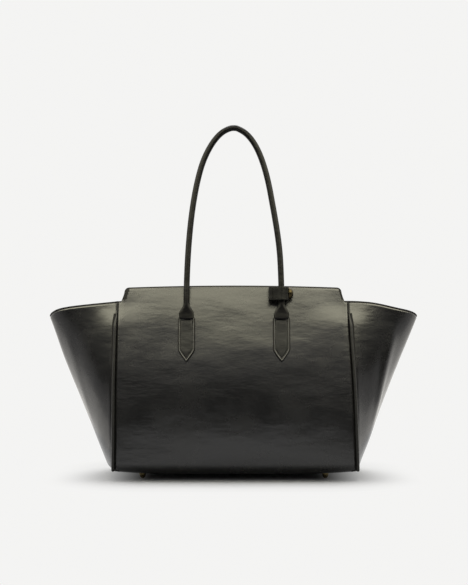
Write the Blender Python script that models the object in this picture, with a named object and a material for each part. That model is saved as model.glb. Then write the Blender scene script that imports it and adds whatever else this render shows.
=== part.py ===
# Leather tote bag with winged gussets, two rolled handles and a snap keeper.
# Metres. X runs along the front, Y away from it, Z up from the floor.
import math

import bmesh
import bpy
from mathutils import Matrix, Vector

# Body
RIM_HEIGHT = 0.249
BASE_DEPTH = 0.150
MOUTH_DEPTH = 0.100
PANEL_BELLY = 0.0167
SEAM_BASE_HALF_WIDTH = 0.152
SEAM_TOP_HALF_WIDTH = 0.148
SHOULDER_DROP = 0.0202
TAB_FOOT_HALF_WIDTH = 0.1417
TAB_TOP_HALF_WIDTH = 0.136
TAB_CORNER_RADIUS = 0.007
TAB_CROWN = 0.0025
PANEL_FOOT_HEIGHT = 0.007
CORNER_FOOT_HEIGHT = 0.0125
WING_FOOT_HEIGHT = 0.0075
BASE_SAG_HEIGHT = 0.0025
WING_TIP_AT_FLOOR = 0.1608
WING_TIP_DROP = 0.0193
WING_FLARE_AT_TIP = 0.0832
WING_TIP_DIP = 0.0088
BELLY_FADE_share = 0.5
WING_NOSE_share = 0.3

# Walls
LEATHER = 0.002
LINING = 0.0007
FACING = 0.0012
FACING_HEIGHT = 0.032
GAP = 0.00035
SEAM_INSET = 0.003
LINING_CLEARANCE = 0.0009

# Base board and feet
BOARD = 0.0016
BOARD_INSET = 0.0045
FOOT_SIDE_INSET = 0.034
FOOT_END_INSET = 0.025
FOOT_RADIUS = 0.0045
FOOT_STEM_RADIUS = 0.0016
FOOT_SEAT = 0.0008
NUT_RADIUS = 0.0045
NUT_HEIGHT = 0.0009
HOLE_CLEARANCE = 0.0004
NUT_CLEARANCE = 0.0012
OVERRUN = 0.012

# Piping
PIPING_RADIUS = 0.0024
PIPING_TOP_DROP = 0.0133
PIPING_TAPER = 0.020
PIPING_POINT_RADIUS = 0.0006
PIPING_FOOT_HEIGHT = 0.0112

# Handles
HANDLE_WIDTH = 0.122
HANDLE_REACH = 0.2548
HANDLE_RADIUS = 0.0039
HANDLE_PIVOT_DROP = 0.042
HANDLE_STANDOFF = 0.0057
HANDLE_STAND_ANGLE = -12.0
HANDLE_HANG_ANGLE = 142.5
NECK_WIDTH = 0.0190
NECK_THICKNESS = 0.0050
NECK_STRAIGHT = 0.006
NECK_FLARE = 0.013
LEG_BOW_share = 1.02
LEG_RISE_share = 0.45
CROWN_WIDTH_share = 0.83
NECK_TIP_share = 0.9
NECK_SQUARE_share = 0.6

# Handle tabs
TAB_PLATE_WIDTH = 0.022
TAB_PLATE_THICKNESS = 0.0024
TAB_PLATE_LENGTH = 0.0555
TAB_POINT_LENGTH = 0.0155
TAB_TIP_HALF_WIDTH = 0.0007
TAB_EDGE_BEVEL = 0.0006

# Keeper on the front handle's right leg
KEEPER_RISE = 0.0315
KEEPER_HEIGHT = 0.0170
KEEPER_LEATHER = 0.0014
KEEPER_REACH_LEFT = 0.0166
KEEPER_REACH_RIGHT = 0.0060
KEEPER_BORE_CLEARANCE = 0.0005
KEEPER_FRONT_ROOM = 0.0040
KEEPER_CORNER = 0.0022
FLAP_LEATHER = 0.0014
FLAP_FRONT_LENGTH = 0.0170
FLAP_TAIL_LENGTH = 0.0070
STUD_BASE_RADIUS = 0.0044
STUD_BASE_HEIGHT = 0.0006
STUD_NECK_RADIUS = 0.0014
STUD_BALL_RADIUS = 0.0019
SNAP_CAP_RADIUS = 0.0078
SNAP_CAP_HEIGHT = 0.0062
SNAP_CAP_WALL = 0.0012

# Zip pocket
ZIP_HALF_LENGTH = 0.082
ZIP_BELOW_FACING = 0.0288
ZIP_TAPE_HEIGHT = 0.026
ZIP_TAPE = 0.0007
ZIP_TEETH_HEIGHT = 0.0050
ZIP_TEETH = 0.0011
SLIDER_LENGTH = 0.0110
SLIDER_WIDTH = 0.0085
SLIDER_THICKNESS = 0.0022
SLIDER_START = 0.074
PULL_LENGTH = 0.030
PULL_WIDTH = 0.0070
PULL_THICKNESS = 0.0018

# Magnetic snap
MAGNET_BELOW_RIM = 0.0175
MAGNET_RADIUS = 0.0090
MAGNET_THICKNESS = 0.0026
MAGNET_NOSE_RADIUS = 0.0034
MAGNET_NOSE = 0.0022
MAGNET_SEAT = 0.0005

# Places that follow from the sizes above
FOOT_X = SEAM_BASE_HALF_WIDTH - FOOT_SIDE_INSET
FOOT_Y = BASE_DEPTH / 2 - FOOT_END_INSET
SEAM_TOP_HEIGHT = RIM_HEIGHT - SHOULDER_DROP
TAB_CORNER_HEIGHT = RIM_HEIGHT - TAB_CROWN
WING_TIP_HEIGHT = SEAM_TOP_HEIGHT - WING_TIP_DROP
PIPING_TOP_HEIGHT = SEAM_TOP_HEIGHT - PIPING_TOP_DROP
HANDLE_PIVOT_HEIGHT = RIM_HEIGHT - HANDLE_PIVOT_DROP
ZIP_HEIGHT = SEAM_TOP_HEIGHT - FACING_HEIGHT - ZIP_BELOW_FACING
MAGNET_HEIGHT = RIM_HEIGHT - MAGNET_BELOW_RIM

# Steps along curves
CROWN_STEPS = 6
CORNER_STEPS = 3
LINING_ROWS = 6
FACING_ROWS = 3
WING_COLUMNS = 16
BASE_COLUMNS = 11
BASE_ROWS = 7
TUBE_SIDES = 12
PIPING_SIDES = 8
PIPING_ROWS = 16
HANDLE_STEPS = 32
ROUND_STEPS = 16
CAP_STEPS = 3

FRONT = -1
BACK = 1
LEFT = -1
RIGHT = 1


def material(name, colour, roughness, metallic=0.0):
    """One plain finish."""
    made = bpy.data.materials.get(name)
    if made is None:
        made = bpy.data.materials.new(name)
        made.use_nodes = True
        shader = made.node_tree.nodes["Principled BSDF"]
        shader.inputs["Base Color"].default_value = (*colour, 1.0)
        shader.inputs["Roughness"].default_value = roughness
        shader.inputs["Metallic"].default_value = metallic
        made.diffuse_color = (*colour, 1.0)
    return made


def black_leather():
    return material("black_leather", (0.012, 0.012, 0.013), 0.38)


def rolled_leather():
    return material("rolled_leather", (0.013, 0.012, 0.012), 0.42)


def facing_leather():
    return material("facing_leather", (0.014, 0.013, 0.013), 0.5)


def lining_cloth():
    return material("lining_cloth", (0.030, 0.028, 0.027), 0.85)


def stiff_board():
    return material("stiff_board", (0.20, 0.17, 0.13), 0.9)


def brass():
    return material("brass", (0.52, 0.38, 0.16), 0.3, 1.0)


def dark_nickel():
    return material("dark_nickel", (0.22, 0.21, 0.20), 0.35, 1.0)


def zip_cloth():
    return material("zip_cloth", (0.018, 0.018, 0.018), 0.8)


def lerp(start, end, share):
    return start + (end - start) * share


def smooth(share):
    """An S curve from 0 to 1."""
    share = min(max(share, 0.0), 1.0)
    return share * share * (3.0 - 2.0 * share)


def finish(name, mesh, finish_material, smooth_angle=40.0):
    """Turns a closed bmesh into a named object with its faces outward."""
    bmesh.ops.recalc_face_normals(mesh, faces=mesh.faces)
    if mesh.calc_volume(signed=True) < 0:
        bmesh.ops.reverse_faces(mesh, faces=mesh.faces)
    data = bpy.data.meshes.new(name)
    mesh.to_mesh(data)
    mesh.free()
    data.materials.append(finish_material)
    data.shade_smooth()
    data.set_sharp_from_angle(angle=math.radians(smooth_angle))
    made = bpy.data.objects.new(name, data)
    bpy.context.collection.objects.link(made)
    return made


def add_grid(mesh, rows):
    """Faces between rows of vertices, split the same way on every sheet so that sheets stay parallel."""
    for lower, upper in zip(rows, rows[1:]):
        for index in range(len(lower) - 1):
            mesh.faces.new((lower[index], lower[index + 1], upper[index + 1]))
            mesh.faces.new((lower[index], upper[index + 1], upper[index]))


def shell(name, outer, inner, finish_material):
    """A closed sheet between two grids of points with the same rows and columns."""
    mesh = bmesh.new()
    outer_rows = [[mesh.verts.new(point) for point in row] for row in outer]
    inner_rows = [[mesh.verts.new(point) for point in row] for row in inner]
    add_grid(mesh, outer_rows)
    add_grid(mesh, inner_rows)
    add_grid(mesh, [outer_rows[0], inner_rows[0]])
    add_grid(mesh, [outer_rows[-1], inner_rows[-1]])
    add_grid(mesh, [[row[0] for row in outer_rows], [row[0] for row in inner_rows]])
    add_grid(mesh, [[row[-1] for row in outer_rows], [row[-1] for row in inner_rows]])
    return finish(name, mesh, finish_material)


def loft(name, rings, finish_material, smooth_angle=40.0):
    """A closed tube through rings of equally many points."""
    mesh = bmesh.new()
    made = [[mesh.verts.new(point) for point in ring] for ring in rings]
    add_grid(mesh, [ring + ring[:1] for ring in made])
    mesh.faces.new(made[0])
    mesh.faces.new(made[-1])
    return finish(name, mesh, finish_material, smooth_angle)


def turned(name, profile, finish_material, place, axis=(0, 0, 1)):
    """A solid turned round its axis from (radius, height) points; it may have a bore."""
    mesh = bmesh.new()
    turn = Vector((0, 0, 1)).rotation_difference(Vector(axis)).to_matrix().to_4x4()
    rings = []
    for radius, height in profile:
        if radius == 0:
            rings.append([mesh.verts.new((0, 0, height))] * ROUND_STEPS)
        else:
            angles = [math.tau * step / ROUND_STEPS for step in range(ROUND_STEPS)]
            rings.append([mesh.verts.new((radius * math.cos(a), radius * math.sin(a), height)) for a in angles])
    closed = profile[0][0] != 0
    pairs = list(zip(rings, rings[1:])) + ([(rings[-1], rings[0])] if closed else [])
    for lower, upper in pairs:
        for step in range(ROUND_STEPS):
            after = (step + 1) % ROUND_STEPS
            corners = [lower[step], lower[after], upper[after], upper[step]]
            corners = list(dict.fromkeys(corners))
            mesh.faces.new(corners)
    mesh.transform(Matrix.Translation(Vector(place)) @ turn)
    return finish(name, mesh, finish_material)


# Body surfaces: every wall, lining and fitting takes its place from these.


def seam_half_width(z):
    return lerp(SEAM_BASE_HALF_WIDTH, SEAM_TOP_HALF_WIDTH, z / SEAM_TOP_HEIGHT)


def half_depth(across, z):
    """Outer face of the front or back panel, from the bag's middle plane."""
    share = z / RIM_HEIGHT
    lean = lerp(BASE_DEPTH / 2, MOUTH_DEPTH / 2, share)
    belly = 4 * PANEL_BELLY * share * (1 - share)
    return lean + belly * (1 - BELLY_FADE_share * across * across)


def panel_foot_height(across):
    return lerp(PANEL_FOOT_HEIGHT, CORNER_FOOT_HEIGHT, across * across)


def wing_foot_height(along):
    return lerp(WING_FOOT_HEIGHT, CORNER_FOOT_HEIGHT, along * along)


def rim_outline():
    """The front panel's upper edge from the left seam to the right, as (x, z)."""
    slope = math.atan2(TAB_FOOT_HALF_WIDTH - TAB_TOP_HALF_WIDTH, TAB_CORNER_HEIGHT - SEAM_TOP_HEIGHT)
    turn = math.pi / 2 - slope
    flat_end = TAB_TOP_HALF_WIDTH - TAB_CORNER_RADIUS * math.tan(turn / 2)
    half = []
    for step in range(CROWN_STEPS):
        share = step / CROWN_STEPS
        half.append((flat_end * share, lerp(RIM_HEIGHT, TAB_CORNER_HEIGHT, share * share)))
    for step in range(CORNER_STEPS + 1):
        angle = turn * step / CORNER_STEPS
        drop = TAB_CORNER_RADIUS * (1 - math.cos(angle))
        half.append((flat_end + TAB_CORNER_RADIUS * math.sin(angle), TAB_CORNER_HEIGHT - drop))
    half.append((TAB_FOOT_HALF_WIDTH, SEAM_TOP_HEIGHT + GAP))
    half.append((SEAM_TOP_HALF_WIDTH, SEAM_TOP_HEIGHT))
    return [(-x, z) for x, z in reversed(half[1:])] + half


def wall_levels(kind, foot, rim_split, rim):
    """Heights of one column of points: a whole wall, only its lining, or only its facing."""
    if kind == "lining":
        low = foot + LEATHER + 2 * GAP + LINING_CLEARANCE
        high = rim_split - 2 * GAP
        return [lerp(low, high, row / LINING_ROWS) for row in range(LINING_ROWS + 1)]
    facing = [lerp(rim_split, rim, row / FACING_ROWS) for row in range(FACING_ROWS + 1)]
    if kind == "facing":
        return facing
    return [lerp(foot, rim_split, row / LINING_ROWS) for row in range(LINING_ROWS)] + facing


def panel_grid(side, depth, kind="wall"):
    """Rows of points on a front or back panel, at a depth inside its outer face."""
    inset = 0 if kind == "wall" else SEAM_INSET
    columns = []
    for x, rim in rim_outline():
        across = x / seam_half_width(rim)
        narrowed = across * (1 - inset / SEAM_TOP_HALF_WIDTH)
        split = min(rim, SEAM_TOP_HEIGHT) - FACING_HEIGHT
        levels = wall_levels(kind, panel_foot_height(across), split, rim)
        columns.append([
            (narrowed * seam_half_width(z), side * (half_depth(narrowed, z) - depth), z)
            for z in levels
        ])
    return [list(row) for row in zip(*columns)]


def piping_radius(z):
    """Full below, drawn to a point near the rim."""
    share = (PIPING_TOP_HEIGHT - z) / PIPING_TAPER
    return lerp(PIPING_POINT_RADIUS, PIPING_RADIUS, smooth(share))


def piping_centre(z):
    radius = piping_radius(z)
    return seam_half_width(z) + radius + GAP, half_depth(1, z) - LEATHER + radius


def wing_seam(z):
    """Where the gusset's outer face starts, just behind the piping, as (x, |y|)."""
    radius = piping_radius(z)
    return seam_half_width(z) + radius + GAP, half_depth(1, z) - LEATHER - radius / 6 - 2 * GAP


def nose(along):
    """0 at the wing's fold and 1 at its seams, rounded at the fold."""
    base = math.hypot(1, WING_NOSE_share) - WING_NOSE_share
    return (math.hypot(along, WING_NOSE_share) - WING_NOSE_share) / base


def nose_slope(along):
    base = math.hypot(1, WING_NOSE_share) - WING_NOSE_share
    return along / math.hypot(along, WING_NOSE_share) / base


def wing_tip(z):
    return WING_TIP_AT_FLOOR + WING_FLARE_AT_TIP * z / WING_TIP_HEIGHT


def wing_rim_height(along):
    """Level near the seam, dipping at the fold."""
    out = 1 - nose(along)
    droop = SEAM_TOP_HEIGHT - WING_TIP_HEIGHT - WING_TIP_DIP
    return SEAM_TOP_HEIGHT - droop * out - WING_TIP_DIP * out ** 8


def wing_point(side, along, z, depth):
    """A point on a gusset at a depth inside its outer face; along is -1 front to 1 back."""
    seam_x, seam_y = wing_seam(z)
    spread = wing_tip(z) - seam_x
    x = seam_x + spread * (1 - nose(along))
    y = seam_y * along
    normal = Vector((seam_y, spread * nose_slope(along)))
    normal.normalize()
    return side * (x - normal.x * depth), y - normal.y * depth, z


def wing_grid(side, depth, kind="wall"):
    """Rows of points on a gusset, closer together at its fold; only the wall reaches the seams."""
    limit = 1 - SEAM_INSET / MOUTH_DEPTH * 2
    spreads = [2 * step / WING_COLUMNS - 1 for step in range(1, WING_COLUMNS)]
    places = [-limit] + [spread * math.sqrt(abs(spread)) for spread in spreads] + [limit]
    if kind == "wall":
        places = [-1.0] + places + [1.0]
    columns = []
    for along in places:
        rim = wing_rim_height(along)
        levels = wall_levels(kind, wing_foot_height(along), rim - FACING_HEIGHT, rim)
        columns.append([wing_point(side, along, z, depth) for z in levels])
    return [list(row) for row in zip(*columns)]


def base_height(across, along):
    """The underside of the base: high at its corners, sagging to a flat middle."""
    end_rise = WING_FOOT_HEIGHT - BASE_SAG_HEIGHT
    side_rise = PANEL_FOOT_HEIGHT - BASE_SAG_HEIGHT
    corner_rise = CORNER_FOOT_HEIGHT - BASE_SAG_HEIGHT
    twist = corner_rise - end_rise - side_rise
    square_x = across * across
    square_y = along * along
    return BASE_SAG_HEIGHT + end_rise * square_x + side_rise * square_y + twist * square_x * square_y


def base_grid(level, inset=0.0, columns=BASE_COLUMNS, rows=BASE_ROWS):
    """Rows of points over the base, a level above its underside."""
    made = []
    for row in range(rows + 1):
        along = 2 * row / rows - 1
        line = []
        for column in range(columns + 1):
            across = 2 * column / columns - 1
            z = base_height(across, along)
            end = wing_point(RIGHT, along, z, LEATHER + 2 * GAP + inset)[0]
            side = half_depth(across, z) - LEATHER - 2 * GAP - inset
            line.append((across * end, along * side, z + level))
        made.append(line)
    return made


def sheet_between(name, grid, near, far, finish_material):
    return shell(name, grid(near), grid(far), finish_material)


def drill(target, centre, radius, axis=(0, 0, 1), length=OVERRUN):
    """Cuts one round hole with a hidden cutter."""
    mesh = bmesh.new()
    bmesh.ops.create_cone(
        mesh, cap_ends=True, segments=ROUND_STEPS, radius1=radius, radius2=radius, depth=2 * length
    )
    turn = Vector((0, 0, 1)).rotation_difference(Vector(axis)).to_matrix().to_4x4()
    mesh.transform(Matrix.Translation(Vector(centre)) @ turn)
    data = bpy.data.meshes.new("cutter")
    mesh.to_mesh(data)
    mesh.free()
    cutter = bpy.data.objects.new(target.name + "_cutter", data)
    bpy.context.collection.objects.link(cutter)
    cutter.hide_render = True
    cutter.display_type = "WIRE"
    cut = target.modifiers.new("hole", "BOOLEAN")
    cut.operation = "DIFFERENCE"
    cut.solver = "EXACT"
    cut.object = cutter


def make_panels():
    for name, side in (("front_panel", FRONT), ("back_panel", BACK)):
        sheet_between(name, lambda depth: panel_grid(side, depth), 0, LEATHER, black_leather())


def make_gussets():
    for name, side in (("left_gusset", LEFT), ("right_gusset", RIGHT)):
        sheet_between(name, lambda depth: wing_grid(side, depth), 0, LEATHER, black_leather())


def foot_places():
    for end, end_name in ((FRONT, "front"), (BACK, "back")):
        for side, side_name in ((LEFT, "left"), (RIGHT, "right")):
            yield end_name + "_" + side_name, side * FOOT_X, end * FOOT_Y


def foot_base_height():
    """The base's underside over a foot."""
    height = WING_FOOT_HEIGHT
    for _ in range(CAP_STEPS):
        side = half_depth(FOOT_X / SEAM_BASE_HALF_WIDTH, height) - LEATHER - 2 * GAP
        end = wing_point(RIGHT, FOOT_Y / side, height, LEATHER + 2 * GAP)[0]
        height = base_height(FOOT_X / end, FOOT_Y / side)
    return height


def make_base():
    base = sheet_between("base_panel", base_grid, 0, LEATHER, black_leather())
    board_level = LEATHER + GAP

    def board_grid(level):
        return base_grid(level, BOARD_INSET)

    board = sheet_between("base_board", board_grid, board_level, board_level + BOARD, stiff_board())
    for _, x, y in foot_places():
        place = (x, y, foot_base_height())
        drill(base, place, FOOT_STEM_RADIUS + HOLE_CLEARANCE)
        drill(board, place, NUT_RADIUS + NUT_CLEARANCE)


def make_feet():
    underside = foot_base_height()
    seat = underside - FOOT_SEAT
    stem_top = underside + LEATHER + FOOT_SEAT + NUT_HEIGHT
    crown = FOOT_RADIUS / 3
    nut_low = underside + LEATHER + FOOT_SEAT
    for name, x, y in foot_places():
        turned(
            "foot_" + name,
            [
                (0, 0),
                (FOOT_RADIUS - crown, 0),
                (FOOT_RADIUS - crown / 3, crown / 3),
                (FOOT_RADIUS, crown),
                (FOOT_RADIUS, seat),
                (FOOT_STEM_RADIUS, seat),
                (FOOT_STEM_RADIUS, stem_top),
                (0, stem_top),
            ],
            brass(),
            (x, y, 0),
        )
        turned(
            "foot_nut_" + name,
            [
                (FOOT_STEM_RADIUS + GAP, nut_low),
                (NUT_RADIUS, nut_low),
                (NUT_RADIUS, nut_low + NUT_HEIGHT),
                (FOOT_STEM_RADIUS + GAP, nut_low + NUT_HEIGHT),
            ],
            dark_nickel(),
            (x, y, 0),
        )


def make_linings():
    """Lining below, leather facing above, on the inside of each wall."""
    near = LEATHER + GAP
    walls = (
        ("front", panel_grid, FRONT),
        ("back", panel_grid, BACK),
        ("left", wing_grid, LEFT),
        ("right", wing_grid, RIGHT),
    )
    for name, grid, side in walls:
        for kind, thickness, finish_material in (
            ("lining", LINING, lining_cloth()),
            ("facing", FACING, facing_leather()),
        ):
            sheet_between(
                kind + "_" + name,
                lambda depth: grid(side, depth, kind),
                near,
                near + thickness,
                finish_material,
            )
    level = LEATHER + GAP + BOARD + GAP

    def base_lining(height):
        return base_grid(height, BOARD_INSET)

    sheet_between("lining_base", base_lining, level, level + LINING, lining_cloth())


def make_piping():
    """One cord down each seam, lofted from a point to a round foot."""
    for end, end_name in ((FRONT, "front"), (BACK, "back")):
        for side, side_name in ((LEFT, "left"), (RIGHT, "right")):
            rings = []
            for step in range(CAP_STEPS):
                angle = math.pi / 2 * (step + 0.5) / CAP_STEPS
                z = PIPING_FOOT_HEIGHT + PIPING_RADIUS * (1 - math.sin(angle))
                rings.append((z, PIPING_RADIUS * math.cos(angle)))
            rings.sort()
            low = PIPING_FOOT_HEIGHT + PIPING_RADIUS
            for row in range(PIPING_ROWS + 1):
                share = row / PIPING_ROWS
                z = lerp(low, PIPING_TOP_HEIGHT, 1 - (1 - share) ** 1.6)
                rings.append((z, piping_radius(z)))
            points = []
            for z, radius in rings:
                x, y = piping_centre(z)
                ring = []
                for corner in range(PIPING_SIDES):
                    angle = math.tau * corner / PIPING_SIDES
                    ring.append((side * (x + radius * math.cos(angle)), end * (y + radius * math.sin(angle)), z))
                points.append(ring)
            loft("piping_" + end_name + "_" + side_name, points, black_leather())


def handle_pivot(end):
    """The hinge line of a handle, at its height, as (y, z)."""
    across = HANDLE_WIDTH / 2 / seam_half_width(HANDLE_PIVOT_HEIGHT)
    depth = half_depth(across, HANDLE_PIVOT_HEIGHT) + HANDLE_STANDOFF
    return end * depth, HANDLE_PIVOT_HEIGHT


def handle_centre(share):
    """Half of the handle's centreline, from a leg's foot to the crown, as (x, rise)."""
    corners = (
        (HANDLE_WIDTH / 2, 0),
        (HANDLE_WIDTH / 2 * LEG_BOW_share, HANDLE_REACH * LEG_RISE_share),
        (HANDLE_WIDTH / 2 * CROWN_WIDTH_share, HANDLE_REACH),
        (0, HANDLE_REACH),
    )
    rest = 1 - share
    weights = (rest ** 3, 3 * rest * rest * share, 3 * rest * share * share, share ** 3)
    x = sum(weight * corner[0] for weight, corner in zip(weights, corners))
    rise = sum(weight * corner[1] for weight, corner in zip(weights, corners))
    return Vector((x, rise))


def handle_section(rise):
    """Half width and half thickness of the handle at a height above its hinge."""
    share = 1 - smooth((rise - NECK_STRAIGHT) / NECK_FLARE)
    wide = lerp(HANDLE_RADIUS, NECK_WIDTH / 2, share)
    thick = lerp(HANDLE_RADIUS, NECK_THICKNESS / 2, share)
    return wide, thick, share


def section_points(wide, thick, flatness):
    """An oval that squares up as it flattens, as (across, out) points."""
    power = lerp(1, NECK_SQUARE_share, flatness)
    points = []
    for corner in range(TUBE_SIDES):
        angle = math.tau * (corner + 0.5) / TUBE_SIDES
        across = math.copysign(abs(math.cos(angle)) ** power, math.cos(angle))
        out = math.copysign(abs(math.sin(angle)) ** power, math.sin(angle))
        points.append((wide * across, thick * out))
    return points


def handle_frame(end, angle):
    """Axes of a handle turned by an angle outward from upright: along its reach, and out of its plane."""
    turn = math.radians(angle)
    reach = Vector((0, end * math.sin(turn), math.cos(turn)))
    out = Vector((0, end * math.cos(turn), -math.sin(turn)))
    return reach, out


def make_handle(name, end, angle):
    """The rolled tube with a flattened neck at each foot, lofted in one piece."""
    pivot_y, pivot_z = handle_pivot(end)
    pivot = Vector((0, pivot_y, pivot_z))
    reach, out = handle_frame(end, angle)
    half = []
    for step in range(CAP_STEPS):
        turn = math.pi / 2 * (1 - (step + 0.5) / CAP_STEPS)
        thick = NECK_THICKNESS / 2 * math.cos(turn)
        foot = Vector((HANDLE_WIDTH / 2, -NECK_THICKNESS / 2 * math.sin(turn)))
        half.append((foot, Vector((0, 1)), (NECK_WIDTH / 2 * lerp(1, NECK_TIP_share, math.sin(turn)), thick, 1.0)))
    for step in range(HANDLE_STEPS + 1):
        share = (step / HANDLE_STEPS) ** 1.25
        centre = handle_centre(share)
        nearby = handle_centre(min(share + 0.01, 1.0)) - handle_centre(max(share - 0.01, 0.0))
        half.append((centre, nearby.normalized(), handle_section(centre.y)))
    rings = []
    for mirror in (1, -1):
        stations = half if mirror == 1 else list(reversed(half[:-1]))
        for centre, heading, (wide, thick, flatness) in stations:
            middle = pivot + Vector((mirror * centre.x, 0, 0)) + reach * centre.y
            side = Vector((mirror * heading.y, 0, 0)) - reach * heading.x
            ring = []
            for across, away in section_points(wide, thick, flatness):
                ring.append(middle + side * across + out * away)
            rings.append(ring)
    handle = loft(name, rings, rolled_leather())
    handle.data.transform(Matrix.Translation(-pivot))
    handle.location = pivot
    return handle


def tab_half_width(below_top):
    """Straight sides, then a bowed point."""
    left = TAB_PLATE_LENGTH - below_top
    share = min(left / TAB_POINT_LENGTH, 1.0)
    return lerp(TAB_TIP_HALF_WIDTH, TAB_PLATE_WIDTH / 2, 1 - (1 - share) ** 1.25)


def make_handle_tabs():
    top = HANDLE_PIVOT_HEIGHT
    downs = [0.0, TAB_PLATE_LENGTH / 3]
    downs += [TAB_PLATE_LENGTH - TAB_POINT_LENGTH * (1 - step / 6) for step in range(7)]
    across_shares = (-1.0, -0.5, 0.0, 0.5, 1.0)
    for end, end_name in ((FRONT, "front"), (BACK, "back")):
        for side, side_name in ((LEFT, "left"), (RIGHT, "right")):

            def tab_grid(lift):
                rows = []
                for down in downs:
                    z = top - down
                    row = []
                    for share in across_shares:
                        shrink = TAB_EDGE_BEVEL if lift > GAP else 0
                        x = side * HANDLE_WIDTH / 2 + share * max(tab_half_width(down) - shrink, TAB_TIP_HALF_WIDTH / 2)
                        depth = half_depth(x / seam_half_width(z), z) + lift
                        row.append((x, end * depth, z))
                    rows.append(row)
                return rows

            name = "handle_tab_" + end_name + "_" + side_name
            sheet_between(name, tab_grid, GAP, GAP + TAB_PLATE_THICKNESS, black_leather())


def keeper_place():
    """The keeper's middle on the front handle's right leg, with the leg's axes."""
    pivot_y, pivot_z = handle_pivot(FRONT)
    reach, out = handle_frame(FRONT, HANDLE_STAND_ANGLE)
    shares = [step / HANDLE_STEPS / 4 for step in range(HANDLE_STEPS)]
    share = min(shares, key=lambda value: abs(handle_centre(value).y - KEEPER_RISE))
    centre = handle_centre(share)
    place = Vector((centre.x, pivot_y, pivot_z)) + reach * KEEPER_RISE
    return place, reach, out


def rounded_loop(left, right, back, front, corner):
    """A rounded oblong as (x, out) points, counter-clockwise from the right side."""
    points = []
    for centre_x, centre_y, start in (
        (right - corner, front - corner, 0.0),
        (left + corner, front - corner, 90.0),
        (left + corner, -back + corner, 180.0),
        (right - corner, -back + corner, 270.0),
    ):
        for step in range(4):
            angle = math.radians(start + 30.0 * step)
            points.append((centre_x + corner * math.cos(angle), centre_y + corner * math.sin(angle)))
    return points


def keeper_point(place, reach, out, x, away, rise):
    return place + Vector((x, 0, 0)) + out * away + reach * rise


def make_keeper():
    place, reach, out = keeper_place()
    back = HANDLE_RADIUS + KEEPER_BORE_CLEARANCE
    front = back + KEEPER_FRONT_ROOM
    outer = rounded_loop(
        -KEEPER_REACH_LEFT, KEEPER_REACH_RIGHT, back + KEEPER_LEATHER, front + KEEPER_LEATHER, KEEPER_CORNER
    )
    inner = rounded_loop(
        -KEEPER_REACH_LEFT + KEEPER_LEATHER,
        KEEPER_REACH_RIGHT - KEEPER_LEATHER,
        back,
        front,
        KEEPER_CORNER - KEEPER_LEATHER,
    )
    half = KEEPER_HEIGHT / 2
    rings = []
    for loop, rise in ((outer, half), (outer, -half), (inner, -half), (inner, half), (outer, half)):
        rings.append([keeper_point(place, reach, out, x, away, rise) for x, away in loop])
    mesh = bmesh.new()
    made = [[mesh.verts.new(point) for point in ring] for ring in rings[:-1]]
    made.append(made[0])
    add_grid(mesh, [ring + ring[:1] for ring in made])
    strap = finish("keeper_strap", mesh, black_leather())

    # The flap lies on the strap's front and turns round its right side.
    snap_out = KEEPER_FRONT_ROOM / 2
    front += KEEPER_LEATHER + GAP
    side = KEEPER_REACH_RIGHT + STUD_BASE_HEIGHT + 2 * GAP
    start = side - FLAP_FRONT_LENGTH
    tail = snap_out - FLAP_TAIL_LENGTH
    outline = [(start, front), (side, front), (side, tail)]
    far = [
        (start, front + FLAP_LEATHER),
        (side + FLAP_LEATHER - KEEPER_CORNER / 2, front + FLAP_LEATHER),
        (side + FLAP_LEATHER, front + FLAP_LEATHER - KEEPER_CORNER / 2),
        (side + FLAP_LEATHER, tail),
    ]
    section = outline + list(reversed(far))
    rings = []
    for rise in (-half, half):
        rings.append([keeper_point(place, reach, out, x, away, rise) for x, away in section])
    flap = loft("keeper_flap", rings, black_leather())
    drill(flap, keeper_point(place, reach, out, side, snap_out, 0), STUD_BALL_RADIUS + HOLE_CLEARANCE, (1, 0, 0), side)

    stud_x = KEEPER_REACH_RIGHT + GAP
    ball_x = side + FLAP_LEATHER + STUD_BALL_RADIUS
    stud = turned(
        "keeper_snap_stud",
        [
            (0, 0),
            (STUD_BASE_RADIUS, 0),
            (STUD_BASE_RADIUS, STUD_BASE_HEIGHT),
            (STUD_NECK_RADIUS, STUD_BASE_HEIGHT),
            (STUD_NECK_RADIUS, ball_x - stud_x - STUD_BALL_RADIUS),
            (STUD_BALL_RADIUS, ball_x - stud_x - STUD_BALL_RADIUS / 3),
            (STUD_BALL_RADIUS, ball_x - stud_x + STUD_BALL_RADIUS / 3),
            (STUD_NECK_RADIUS, ball_x - stud_x + STUD_BALL_RADIUS),
            (0, ball_x - stud_x + STUD_BALL_RADIUS),
        ],
        brass(),
        keeper_point(place, reach, out, stud_x, snap_out, 0),
        (1, 0, 0),
    )
    cavity = STUD_BALL_RADIUS + HOLE_CLEARANCE
    depth = 2 * STUD_BALL_RADIUS + 2 * GAP
    cap_profile = [(cavity, 0)]
    for step in range(7):
        angle = math.pi / 2 * step / 6
        rise = SNAP_CAP_WALL + (SNAP_CAP_HEIGHT - SNAP_CAP_WALL) * math.sin(angle)
        cap_profile.append((SNAP_CAP_RADIUS * math.cos(angle) if step < 6 else 0, rise))
    cap_profile.insert(1, (SNAP_CAP_RADIUS - SNAP_CAP_WALL / 2, 0))
    cap_profile = [(0, depth), (cavity, depth)] + cap_profile
    cap = turned(
        "keeper_snap_cap",
        cap_profile,
        brass(),
        keeper_point(place, reach, out, side + FLAP_LEATHER + GAP, snap_out, 0),
        (1, 0, 0),
    )
    return strap, flap, stud, cap


def zip_point(x, z, depth):
    """A point on the back lining's inner face at a depth further in."""
    start = LEATHER + GAP + LINING + GAP
    y = half_depth(x / seam_half_width(z), z) - start - depth
    return x, y, z


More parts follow.
